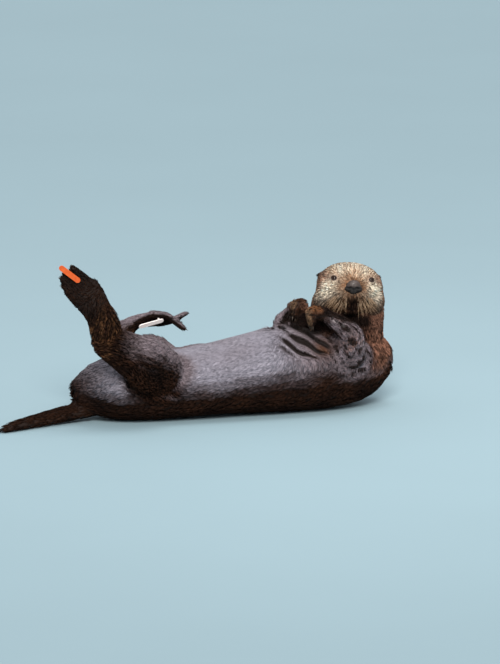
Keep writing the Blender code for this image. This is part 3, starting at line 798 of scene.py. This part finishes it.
def coat_lie(points, normals, at):
    """Which way the hair points: from the nose back over the head, down the neck and body, out along the
    limbs."""
    h = at["head_points"]
    y = points[:, 1]
    lie = np.stack([-np.ones_like(y), 0.9 * y, np.where(abs(y) > 0.06, -0.42, -0.1)], 1)
    lie[:, 2] += 0.30 * slow_waves(points, 45.0)
    lie[:, 1] += 0.22 * slow_waves(points, 38.0, 1.5)
    breast = spot(points, (0.150, -0.080, 0.165), (0.090, 0.080, 0.060))
    lie += breast[:, None] * np.array((1.9, 0.0, -0.44))
    for name in MIDDLE_LINES:
        share = at[name][:, None]
        heading = at[name + "_heading"]
        if name == "hind_leg_left":
            hang = along_limb(at, name, 0.30, 0.55) * ease(0.92, 0.72, at[name + "_share"])
            heading = moved(heading, hang[:, None], np.array((-0.25, 0.0, -1.0)))
        lie = moved(lie, share, heading)
    spread = h - np.array((0, 0.030, -0.008))
    spread[:, 1] = np.minimum(spread[:, 1], -0.012) * 0.9
    spread = unit(spread)
    low = ease(-0.015, -0.060, h[:, 2])
    spread[:, 2] -= 0.9 * low
    spread[:, 0] *= 1 - 0.35 * low
    for side in (1, -1):
        eye = (side * EYE_SIDE, 0.006, 0.0)
        near = spot(h, eye, (0.016, 0.020, 0.014))[:, None]
        spread = spread * (1 - near) + unit(h - np.array(eye)) * near * 1.2
    lie = moved(unit(lie), at["head"][:, None], unit(spread) @ HEAD_AXES)
    lie = lie - normals * (lie * normals).sum(1, keepdims=True)
    return unit(lie)


def triangles_of(data):
    data.calc_loop_triangles()
    corners = np.empty(len(data.loop_triangles) * 3, np.int32)
    data.loop_triangles.foreach_get("vertices", corners)
    return corners.reshape(-1, 3)


def scatter(points, normals, triangles, density, count, draw):
    """Roots over the skin, in proportion to a density: even steps along the running sum of triangle area
    times density, each shifted by a random part of a step."""
    a, b, c = (points[triangles[:, k]] for k in range(3))
    area = np.linalg.norm(np.cross(b - a, c - a), axis=1) / 2
    total = np.cumsum(area * density[triangles].mean(1))
    picks = (np.arange(count) + draw.random(count)) / count * total[-1]
    chosen = triangles[np.minimum(np.searchsorted(total, picks), len(triangles) - 1)]
    p, q = np.sqrt(draw.random(count)), draw.random(count)
    weights = np.stack([1 - p, p * (1 - q), p * q], 1)[:, :, None]
    return (points[chosen] * weights).sum(1), unit((normals[chosen] * weights).sum(1))


def part_of(at):
    """The number of the part that each point belongs to, in the order of UNWRAP_PARTS."""
    shares = np.stack([np.full(len(at["head"]), 0.35), at["head"], *(at[name] for name in MIDDLE_LINES)])
    return shares.argmax(0)


def unwrap_charts(points, parts, facing):
    """One flat chart for each part and each of the six ways its skin faces, in rows on a unit square at one
    scale. Gives, by part and facing, each chart's low corners on the skin and on the square, and then the
    scale."""
    sizes = {}
    for part in range(len(UNWRAP_PARTS)):
        for way in range(6):
            mine = points[(parts == part) & (facing == way)]
            if len(mine):
                flat = np.delete(mine, way // 2, axis=1)
                sizes[part, way] = (flat.min(0), flat.max(0) - flat.min(0))
    ordered = sorted(sizes, key=lambda key: -sizes[key][1][1])
    scale = CHART_SCALE
    while True:
        charts, x, y, row = {}, CHART_MARGIN, CHART_MARGIN, 0.0
        for key in ordered:
            low, size = sizes[key]
            wide, high = size * scale + 2 * CHART_MARGIN
            if x + wide > 1:
                x, y, row = CHART_MARGIN, y + row, 0.0
            charts[key] = (low, np.array((x, y)))
            x += wide
            row = max(row, high)
        if y + row < 1:
            return charts, scale
        scale *= CHART_SHRINK


def facing_of(normals):
    """0 to 5: the axis along which the skin mostly faces, and which way."""
    axis = abs(normals).argmax(1)
    return axis * 2 + (np.take_along_axis(normals, axis[:, None], 1)[:, 0] > 0)


def on_unwrap(points, parts, facing, charts, scale):
    """Each point's place on the unwrap of the skin."""
    places = np.full((len(points), 2), 0.5)
    for (part, way), (low, corner) in charts.items():
        mine = (parts == part) & (facing == way)
        places[mine] = (np.delete(points[mine], way // 2, axis=1) - low) * scale + corner
    return places


# A tuft's corners: three round its root, three half way and its tip.
TUFT_CORNERS = 7
TUFT_ROOT = ((0, 2, 1),)
TUFT_SIDES = ((0, 1, 4), (0, 4, 3), (1, 2, 5), (1, 5, 4), (2, 0, 3), (2, 3, 5))
TUFT_POINT = ((3, 4, 6), (4, 5, 6), (5, 3, 6))
TUFT_FACES = np.array(TUFT_ROOT + TUFT_SIDES + TUFT_POINT)
# Each corner's share of the way from root to tip, and across the tuft.
TUFT_ALONG = np.array((0, 0, 0, 0.5, 0.5, 0.5, 1.0))
TUFT_ACROSS = np.array((0, 0.5, 1.0, 0, 0.5, 1.0, 0.5))


def tuft_arrays(roots, tips, normals, bow, width, thick):
    """Closed spikes from roots to tips: a flattened triangle at the root, a smaller one half way, raised by
    bow along the normal, and the tip."""
    run = unit(tips - roots)
    side = unit(np.cross(normals, run))
    rise = unit(np.cross(run, side))
    middle = (roots + tips) / 2 + normals * bow[:, None]
    points = np.empty((len(roots), TUFT_CORNERS, 3))
    for ring, centre, size in ((0, roots, 1.0), (1, middle, 0.82)):
        points[:, ring * 3] = centre + side * (width * size / 2)[:, None]
        points[:, ring * 3 + 1] = centre + rise * (thick * size)[:, None]
        points[:, ring * 3 + 2] = centre - side * (width * size / 2)[:, None]
    points[:, 6] = tips
    return points


def coat_sizes(points, normals, at):
    """Length, lift, width and gathering of the tufts, the spread of a clump and how many clumps to the area.
    They start from the trunk's and move towards each region's own in turn."""
    h = at["head_points"]
    head = at["head"]
    flat = slick(points, normals, at)
    under = ease(0.030, 0.008, points[:, 2])
    arms = np.clip(at["foreleg_left"] + at["foreleg_right"], 0, 1)
    beard = head * spot(h, (0, 0.020, -0.062), (0.070, 0.060, 0.026))
    ears = [head * spot(h, (side * 0.070, -0.065, 0.001), (0.013, 0.016, 0.013)) for side in (1, -1)]
    muzzle = head * spot(h, (0, 0.030, -0.014), (0.030, 0.026, 0.023))
    for name in EYES:
        ahead, *_, out = by_eye(points, name)
        muzzle = np.maximum(muzzle, head * ease(4.2, 2.2, out) * (ahead > -0.008))
    flat_length = 0.0190 - 0.0060 * at["limbs"] - 0.0050 * arms
    flat_lift = 0.0004 + 0.0004 * at["limbs"]
    end_lift = 0.0013 - 0.0008 * flat
    sizes = dict(length=0.0150, lift=0.0042 - 0.002 * under, width=0.0017)
    sizes |= dict(gather=0.72, spread=0.0036, dense=1.0 - 0.45 * under)
    for share, targets in (
        (at["limbs"], dict(length=0.0135, lift=0.0062, width=0.0014, spread=0.0026, dense=1.9)),
        (at["neck"], dict(length=0.0190, lift=0.0062, dense=1.9)),
        (at["tail"], dict(lift=0.0026)),
        (arms, dict(length=0.0080, lift=0.0012)),
        (flat, dict(length=flat_length, lift=flat_lift, width=0.0018)),
        (flat, dict(gather=0.45, spread=0.0045, dense=0.95)),
        (folded_patch(points), dict(length=0.0085, lift=0.0004, width=0.0013, spread=0.0014, dense=1.8)),
        (at["ends"], dict(length=0.0070, lift=end_lift, width=0.0009, spread=0.0017, dense=3.0)),
        (head, dict(length=0.0135, lift=0.0048, width=0.00105, gather=0.78, spread=0.0024, dense=4.4)),
        (beard, dict(length=0.0190, lift=0.0044, width=0.0009, gather=0.86, dense=4.2)),
        *((ear, dict(length=0.0040, lift=0.0005, width=0.0008)) for ear in ears),
        (muzzle, dict(length=0.0052, lift=0.0014, width=0.0007, gather=0.35, dense=6.0)),
    ):
        for size, target in targets.items():
            sizes[size] = moved(sizes[size], share, target)
    sizes["lift"] = np.maximum(sizes["lift"], 0.0003)
    return sizes


draw = np.random.default_rng(COAT_SEED)
skin_triangles = triangles_of(skin.data)
skin_at = regions(skin_points)
charts, chart_scale = unwrap_charts(skin_points, part_of(skin_at), facing_of(skin_normals))

density = coat_sizes(skin_points, skin_normals, skin_at)["dense"]
nose_reach = spot(in_head(skin_points), in_head(np.array([nose_centre]))[0], (0.018, 0.018, 0.0135))
density = density * (nose_reach < 0.42)
density = density * (1 - 0.97 * chest_folds(skin_points))
for eye in EYES:
    ahead, *_, out = by_eye(skin_points, eye)
    density = density * ((out > 1.22) | (ahead < -0.004))
clumps, clump_normals = scatter(skin_points, skin_normals, skin_triangles, density, COAT_CLUMPS, draw)
clump_at = regions(clumps)
clump_lie = coat_lie(clumps, clump_normals, clump_at)
sizes = coat_sizes(clumps, clump_normals, clump_at)
parts = part_of(clump_at)
places = on_unwrap(clumps, parts, facing_of(clump_normals), charts, chart_scale)
# How wet the coat is: nearly dry on the head, soaked elsewhere.
wet = 1 - 0.85 * clump_at["head"] * ease(-0.090, -0.060, clump_at["head_points"][:, 2])
shines = slick(clumps, clump_normals, clump_at)
ends = clumps + clump_lie * sizes["length"][:, None]
root_tints, tip_tints = markings(clumps, clump_normals), markings(ends, clump_normals)
# How far a tuft's tip takes the colour of the place it lies on: most where the coat is slick, in painted
# shade or low on the face.
end_at = regions(ends)
low_face = end_at["head"] * ease(-0.038, -0.055, end_at["head_points"][:, 2])
carry = np.max([shines, painted_shade(ends, end_at), 0.75 * low_face], axis=0)

many = (COAT_CLUMPS, TUFTS_PER_CLUMP)
side = np.cross(clump_normals, clump_lie)
angle = draw.random(many) * 2 * math.pi
reach = np.sqrt(draw.random(many)) * sizes["spread"][:, None]
offset = clump_lie[:, None] * (np.cos(angle) * reach)[..., None]
offset = offset + side[:, None] * (np.sin(angle) * reach)[..., None]
# Roots lie a little under the skin, less so where the coat is slick.
sunk = 0.0007 - 0.0005 * shines[:, None, None]
roots = clumps[:, None] + offset - clump_normals[:, None] * sunk
lengths = sizes["length"][:, None] * (0.70 + 0.55 * draw.random(many))
lifts = sizes["lift"][:, None] * (0.45 + 0.95 * draw.random(many))
sway = 0.30 * (draw.random(many) - 0.5) + 0.22 * (draw.random((COAT_CLUMPS, 1)) - 0.5)
sway = sway * (1 - 0.6 * shines[:, None])
heading = clump_lie[:, None] + side[:, None] * sway[..., None]
tips = roots + heading * lengths[..., None] + clump_normals[:, None] * lifts[..., None]
clump_tip = clumps + clump_lie * sizes["length"][:, None] + clump_normals * sizes["lift"][:, None]
clump_tip = clump_tip[:, None] + (tips - roots) * 0.12
pull = sizes["gather"][:, None, None]
tips = moved(tips, pull, clump_tip)
bow = (lifts * 0.42).ravel()
widths = (sizes["width"][:, None] * (0.75 + 0.5 * draw.random(many))).ravel()
tuft_normals = np.repeat(clump_normals, TUFTS_PER_CLUMP, 0)
tips = tips.reshape(-1, 3)
roots = roots.reshape(-1, 3)
tips[:, 2] = np.maximum(tips[:, 2], TIP_LOWEST)
thicks = widths * np.repeat(0.42 - 0.24 * shines, TUFTS_PER_CLUMP)
spikes = tuft_arrays(roots, tips, tuft_normals, bow, widths, thicks)
spikes[..., 2] = np.maximum(spikes[..., 2], TUFT_LOWEST)

# Tufts that would reach over the opening between the lids are left out.
clear = np.ones(len(roots), bool)
for eye in EYES:
    ahead, *_, out = by_eye(spikes[:, 3:].reshape(-1, 3), eye)
    over = (out < 1.12) & (ahead > 0) & (ahead < 0.030)
    clear &= ~over.reshape(-1, 4).any(1)

# Each tuft's own shade: some locks pale, some dark, most of all where the coat isn't slicked down.
loose = 1 - 0.7 * (shines * (1 - 0.7 * clump_at["foreleg_left"]))[:, None]
uneven = 0.62 + 0.95 * clump_at["limbs"] + 0.60 * clump_at["neck"] + 0.16 * clump_at["head"]
clump_shade = uneven[:, None] * (draw.random((COAT_CLUMPS, 1)) - 0.5)
shade = 1 + loose * (0.34 * (draw.random(many) - 0.5) + clump_shade)
# Some tufts on the head, fewer where it is pale, are darkened to 0.4: dark hairs, and painted shade in the
# gaps between the pale locks.
darkened = 0.26 * clump_at["head"] * (1 - 0.8 * root_tints[:, 0])
shade = np.where(draw.random(many) < darkened[:, None], shade * 0.40, shade)
shade = shade * (1 + 0.10 * clump_at["head"][:, None])
# Painted shade along each tuft: darker at its root and lighter at its tip, less so where the coat is slick or
# on the head.
shade_along_tuft = np.interp(TUFT_ALONG, (0, 0.5, 1.0), (0.50, 1.02, 1.25))
root_shade = np.repeat(1 - 0.6 * shines - 0.5 * clump_at["head"], TUFTS_PER_CLUMP)[:, None]
along = carry[:, None, None] * TUFT_ALONG[None, :, None]
corner_tints = moved(root_tints[:, None], along, tip_tints[:, None])
corner_tints = np.repeat(corner_tints, TUFTS_PER_CLUMP, 0) * shade.reshape(-1, 1, 1)
corner_tints = corner_tints * (1 + root_shade * (shade_along_tuft - 1))[..., None]
corner_tints = np.clip(corner_tints, 0, 1)
tuft_patch = PATCH * np.stack([TUFT_ACROSS - 0.5, TUFT_ALONG - 0.5], 1)
corner_places = np.repeat(places, TUFTS_PER_CLUMP, 0)[:, None] + tuft_patch

fur = Finish("fur_strands", {"Coat Roughness": 0.33, "Specular IOR Level": 0.05})
strand_tint = fur.attribute("tint", out=0)
strand_wet = fur.attribute("wet")
strand_shine = fur.attribute("shine")
grain = fur.noise(1600, 2.0)
fur.surface(
    {
        "Base Color": fur.mix(grain * 0.4, strand_tint, fur.dimmed(strand_tint, 0.6)),
        "Roughness": 0.74 - strand_wet * 0.16 - strand_shine * 0.20,
        "Coat Weight": strand_shine * 0.52,
    }
)

tuft_parts = np.repeat(parts, TUFTS_PER_CLUMP)
for number, part in enumerate(UNWRAP_PARTS):
    mine = np.flatnonzero((tuft_parts == number) & clear)
    for k, some in enumerate(np.array_split(mine, math.ceil(len(mine) / PIECE_LIMIT))):
        faces = (np.arange(len(some)) * TUFT_CORNERS)[:, None, None] + TUFT_FACES
        piece = mesh_object(f"coat_{part}_{k + 1}", spikes[some].reshape(-1, 3), faces.reshape(-1, 3), fur)
        give_attribute(piece.data, "tint", corner_tints[some].reshape(-1, 3))
        for name, values in (("wet", wet), ("shine", shines)):
            values = np.repeat(values, TUFTS_PER_CLUMP)[some]
            give_attribute(piece.data, name, np.repeat(values, TUFT_CORNERS))
        corners = corner_places[some].reshape(-1, 2)[faces.ravel()]
        piece.data.uv_layers.new(name="OFBake").data.foreach_set("uv", corners.astype(np.float32).ravel())
        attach(piece, "root")


# ---------------------------------------------------------------- eyes and lid rims
# Dark round eyes set deep in the face, each a glossy ball with a brown iris. The skin already forms the
# lids, and a thin dark rim of bare skin runs along their edge.

RIM_RADIUS = 0.0012
IRIS_COLOURS = (0.004, 0.002, 0.002), (0.022, 0.010, 0.005)


def grid_faces(rows, columns, closed=False):
    """Quads of a grid that closes on itself across its columns, and along its rows too where closed."""
    a = np.arange(rows if closed else rows - 1)[:, None] * columns
    b = (a + columns) % (rows * columns)
    k = np.arange(columns)[None]
    n = (k + 1) % columns
    return np.stack([a + k, a + n, b + n, b + k], -1).reshape(-1, 4)


def ball(centre, radius, axes, rows=24, columns=36):
    """A sphere from pole to pole about its first axis, as points and quads; the end rings are tiny."""
    lean = np.linspace(0.002, math.pi - 0.002, rows)[:, None]
    turn = np.linspace(0, 2 * math.pi, columns, endpoint=False)[None]
    local = np.stack([np.cos(lean) + 0 * turn, np.sin(lean) * np.cos(turn), np.sin(lean) * np.sin(turn)], -1)
    return centre + radius * local.reshape(-1, 3) @ axes, grid_faces(rows, columns)


def rim_round(name, rows=64, columns=10):
    """A rim of round section on the eyeball: a small circle carried round the oval edge of the opening."""
    centre, axes = EYES[name]
    turn = np.linspace(0, 2 * math.pi, rows, endpoint=False)[:, None]
    around = np.linspace(0, 2 * math.pi, columns, endpoint=False)[None]
    sideways = EYE_OPENING[0] * np.cos(turn)
    up = EYE_OPENING[1] * np.sin(turn)
    ahead = np.sqrt((EYE_RADIUS + 0.0005) ** 2 - sideways**2 - up**2)
    out = RIM_RADIUS * np.cos(around)
    ahead = ahead + RIM_RADIUS * np.sin(around)
    local = np.stack([ahead, sideways + out * np.cos(turn), up + out * np.sin(turn)], -1)
    return centre + local.reshape(-1, 3) @ axes, grid_faces(rows, columns, closed=True)


eyeball = Finish("eyeball", {"Roughness": 0.06, "IOR": 1.33})
iris_share = eyeball.attribute("iris")
iris_grain = eyeball.noise(2200, 2.0)
eyeball.surface({"Base Color": eyeball.mix(iris_share * (0.5 + iris_grain), *IRIS_COLOURS)})
lid_skin = Finish("lid_skin", {"Specular IOR Level": 0.35})
lid_grain = lid_skin.noise(1400, 3.0)
lid_skin.surface(
    {
        "Base Color": lid_skin.mix(lid_grain, (0.016, 0.009, 0.007), (0.050, 0.028, 0.020)),
        "Roughness": 0.40 + lid_grain * 0.2,
        "Normal": lid_skin.bump(lid_grain, 0.0004, 0.6),
    }
)
for name, (centre, axes) in EYES.items():
    points, faces = ball(centre, EYE_RADIUS, axes)
    eye = mesh_object(name + "_ball", points, faces, eyeball)
    ahead, sideways, up, out = by_eye(points, name)
    off_axis = np.hypot(sideways, up) / EYE_RADIUS
    give_attribute(eye.data, "iris", ease(0.62, 0.50, off_axis) * ease(0.20, 0.30, off_axis) * (ahead > 0))
    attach(eye, "root")
    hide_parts(name)
    points, faces = rim_round(name)
    rim = mesh_object(name + "_rim", points, faces, lid_skin)
    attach(rim, "root")


# ---------------------------------------------------------------- nose
# The bare nose pad: moist black leather, broad at the nostrils, with a groove down the middle to the lip. It
# is the imported nose remeshed finely, with the nostrils and the groove pressed in. These and the pad's
# underside are painted near black as shade.

NOSE_CELL = 0.0007
NOSE_SMOOTHING = 6
NOSTRIL_DEPTH, GROOVE_DEPTH = 0.0050, 0.0014

nose = melted("nose_pad", ("nose",), NOSE_CELL, NOSE_SMOOTHING)
nose_points = read_vectors(nose.data.vertices, "co")
nose_normals = read_vectors(nose.data.vertex_normals, "vector")
local = (nose_points - np.array(nose_centre)) @ HEAD_AXES.T
pit = np.zeros(len(local))
for sign in (1, -1):
    pit = np.maximum(pit, spot(local, (sign * 0.0100, 0.0080, -0.0020), (0.0050, 0.0100, 0.0024)))
    pit = np.maximum(pit, spot(local, (sign * 0.0155, 0.0050, -0.0010), (0.0036, 0.0100, 0.0026)))
groove = spot(local, (0, 0.010, -0.009), (0.0012, 0.014, 0.0085))
nose_points -= nose_normals * (NOSTRIL_DEPTH * pit + GROOVE_DEPTH * groove)[:, None]
# Painted shade: the pad's underside goes near black, as do the nostrils and the groove.
nose_underside_shade = ease(0.002, -0.004, local[:, 2])
write_points(nose.data, nose_points)
give_attribute(nose.data, "pit", np.clip(pit * 1.6 + 0.8 * groove + 0.95 * nose_underside_shade, 0, 1))
leather = Finish("nose_leather", {"Coat Roughness": 0.18, "Specular IOR Level": 0.35})
place = leather.node("TexCoord", out=3)
pebbles = leather.node("TexVoronoi", None, {0: place, 2: 1150.0})
nose_pits_and_shade = leather.attribute("pit")
nose_tone = leather.noise(160, 3.0)
worn = leather.mix(nose_tone, (0.028, 0.019, 0.016), (0.060, 0.042, 0.037))
leather.surface(
    {
        "Base Color": leather.mix(nose_pits_and_shade, worn, (0.003, 0.002, 0.002)),
        "Roughness": 0.46 + nose_pits_and_shade * 0.3,
        "Coat Weight": 0.14 - nose_pits_and_shade * 0.14,
        "Normal": leather.bump(1 - pebbles, 0.0005, 0.55),
    }
)
nose.data.materials.append(leather.material)
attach(nose, "root")
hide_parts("nose")


# ---------------------------------------------------------------- whiskers
# Stiff pale bristles that grow from the two whisker pads and sweep down and out over the beard. Claws are
# made by the same function, shorter and thicker.

WHISKER_SEED = 5
WHISKER_COUNT = 46  # on each side
WHISKER_THICKNESS = 0.0008
WHISKER_RINGS = 7
WHISKER_SIDES = 4


def bristles(name, roots, headings, droops, lengths, thickness, finish):
    """Tapering bristles as one mesh: each follows a parabola from its root along its heading, bent by its
    droop, and narrows to a fine end."""
    s = np.linspace(0, 1, WHISKER_RINGS)[None, :, None]
    middle = roots[:, None] + headings[:, None] * s * lengths[:, None, None]
    middle = middle + droops[:, None] * s**2 * lengths[:, None, None]
    run = unit(np.gradient(middle, axis=1))
    side = unit(np.cross(run, np.array((0.31, 0.52, 0.79))))
    rise = np.cross(run, side)
    taper = (1 - s**1.6 * 0.92) * thickness / 2
    around = np.linspace(0, 2 * math.pi, WHISKER_SIDES, endpoint=False)
    rings = [middle + side * taper * math.cos(a) + rise * taper * math.sin(a) for a in around]
    points = np.stack(rings, 2).reshape(len(roots), -1, 3)
    quads = grid_faces(WHISKER_RINGS, WHISKER_SIDES)
    last = (WHISKER_RINGS - 1) * WHISKER_SIDES
    caps = np.array(((3, 2, 1, 0), (last, last + 1, last + 2, last + 3)))
    faces = np.vstack([quads, caps])
    faces = (np.arange(len(roots)) * points.shape[1])[:, None, None] + faces
    made = mesh_object(name, points.reshape(-1, 3), faces.reshape(-1, 4), finish)
    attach(made, "root")
    return made


whisker_horn = mottled("whisker_horn", {"Roughness": 0.4}, 90, (0.19, 0.11, 0.06), (0.42, 0.29, 0.18))
skin_in_head = in_head(skin_points)


def skin_below(places):
    """The skin points nearest to some places given in the head's axes."""
    away = np.linalg.norm(skin_in_head[None] - np.asarray(places)[:, None], axis=2)
    return skin_points[away.argmin(1)]


draw = np.random.default_rng(WHISKER_SEED)
for name, sign in (("whiskers_right", 1), ("whiskers_left", -1)):
    row = draw.random(WHISKER_COUNT)
    column = (np.arange(WHISKER_COUNT) + draw.random(WHISKER_COUNT)) / WHISKER_COUNT
    x = sign * (0.011 + 0.032 * column)
    places = np.stack([x, 0.032 - 0.020 * column, -0.030 - 0.020 * row - 0.006 * column], 1)
    roots = skin_below(places)
    out = np.stack([sign * (0.16 + 1.00 * column), 0.34 - 0.15 * column, -1.00 + 0.28 * column], 1)
    headings = unit(out + 0.07 * draw.normal(size=(WHISKER_COUNT, 3))) @ HEAD_AXES
    droops = np.tile(np.array((0, -0.34, -0.22)), (WHISKER_COUNT, 1)) @ HEAD_AXES
    lengths = 0.024 + 0.018 * draw.random(WHISKER_COUNT)
    bristles(name, roots, headings, droops, lengths, WHISKER_THICKNESS, whisker_horn)


# ---------------------------------------------------------------- claws
# Short claws of dark horn at the ends of the fingers and toes, where the solids have theirs.

CLAW_LENGTH, CLAW_WIDTH = 0.0080, 0.0036
CLAW_ROOTED = 0.35  # share of a claw's length behind its place on the tip
CLAW_AHEAD = 0.0065  # from the middle of a fingertip or toe tip to the claw's place
FINGER_SPACING = 0.0119
# Each finger's end, as a share of the way from knuckles to fingertips.
FINGER_REACHES = (0.84, 0.97, 1.00, 0.90)
# Each forepaw: its wrist, knuckles and fingertips, and which way its palm faces.
FOREPAWS = {
    "claws_forepaw_left": (
        (0.169, -0.106, 0.237),
        (0.139, -0.106, 0.242),
        (0.137, -0.106, 0.214),
        (0.3, 0, -1),
    ),
    "claws_forepaw_right": (
        (0.155, 0.083, 0.218),
        (0.168, 0.064, 0.228),
        (0.154, 0.050, 0.204),
        (0.2, -0.3, -1),
    ),
}
# Each hind foot: its ankle and the tips of its toes.
HIND_TIPS = {
    "claws_hind_foot_left": (
        (-0.396, -0.127, 0.312),
        (
            (-0.4415, -0.122, 0.3190),
            (-0.4545, -0.126, 0.3380),
            (-0.4600, -0.130, 0.3560),
            (-0.4540, -0.134, 0.3720),
            (-0.4360, -0.137, 0.3830),
        ),
    ),
    "claws_hind_foot_right": (
        (-0.188, 0.105, 0.208),
        (
            (-0.1180, 0.060, 0.1890),
            (-0.1180, 0.082, 0.1940),
            (-0.1170, 0.104, 0.1965),
            (-0.1150, 0.126, 0.1970),
            (-0.0850, 0.150, 0.2065),
        ),
    ),
}
CLAW_COLOURS = (0.016, 0.011, 0.008), (0.070, 0.048, 0.034)
claw_horn = mottled("claw_horn", {"Roughness": 0.45, "Specular IOR Level": 0.3}, 300, *CLAW_COLOURS)


def claws(name, tips, runs):
    """Curved cones as one mesh, one at each tip along its run, each with a third of its length behind the
    tip."""
    tips, runs = np.array(tips, float), unit(np.array(runs, float))
    starts = tips - runs * CLAW_LENGTH * CLAW_ROOTED
    droops = np.tile(np.array((0, 0, -0.25)), (len(tips), 1))
    lengths = np.full(len(tips), CLAW_LENGTH)
    made = bristles(name, starts, runs, droops, lengths, CLAW_WIDTH, claw_horn)


for name, places in FOREPAWS.items():
    wrist, knuckles, tip, palm = (np.array(place, float) for place in places)
    down = unit(tip - knuckles)
    across = unit(np.cross(knuckles - wrist, palm))
    ends = [
        knuckles + (tip - knuckles) * reach + across * (k - 1.5) * FINGER_SPACING + down * CLAW_AHEAD
        for k, reach in enumerate(FINGER_REACHES)
    ]
    claws(name, ends, [0.7 * down + 0.3 * palm] * len(ends))
for name, (root, toes) in HIND_TIPS.items():
    toes = np.array(toes)
    runs = unit(toes - np.array(root))
    claws(name, toes + runs * CLAW_AHEAD, runs)


# ---------------------------------------------------------------- tags
# Moulded plastic strips pinned through the web of each hind foot, orange on the left and pale on the right.
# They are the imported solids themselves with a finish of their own.

for node, name, low, high in (
    ("tag_left", "orange_plastic", (0.34, 0.036, 0.003), (0.72, 0.118, 0.009)),
    ("tag_right", "pale_plastic", (0.72, 0.64, 0.62), (0.92, 0.88, 0.86)),
):
    plastic = Finish(name)
    stain = plastic.noise(140, 4.0)
    scuffs = plastic.noise(700, 2.0)
    plastic.surface(
        {
            "Base Color": plastic.mix(stain, low, high),
            "Roughness": 0.34 + scuffs * 0.2,
            "Normal": plastic.bump(scuffs, 0.0003, 0.4),
        }
    )
    for material_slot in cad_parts[node].material_slots:
        material_slot.material = plastic.material
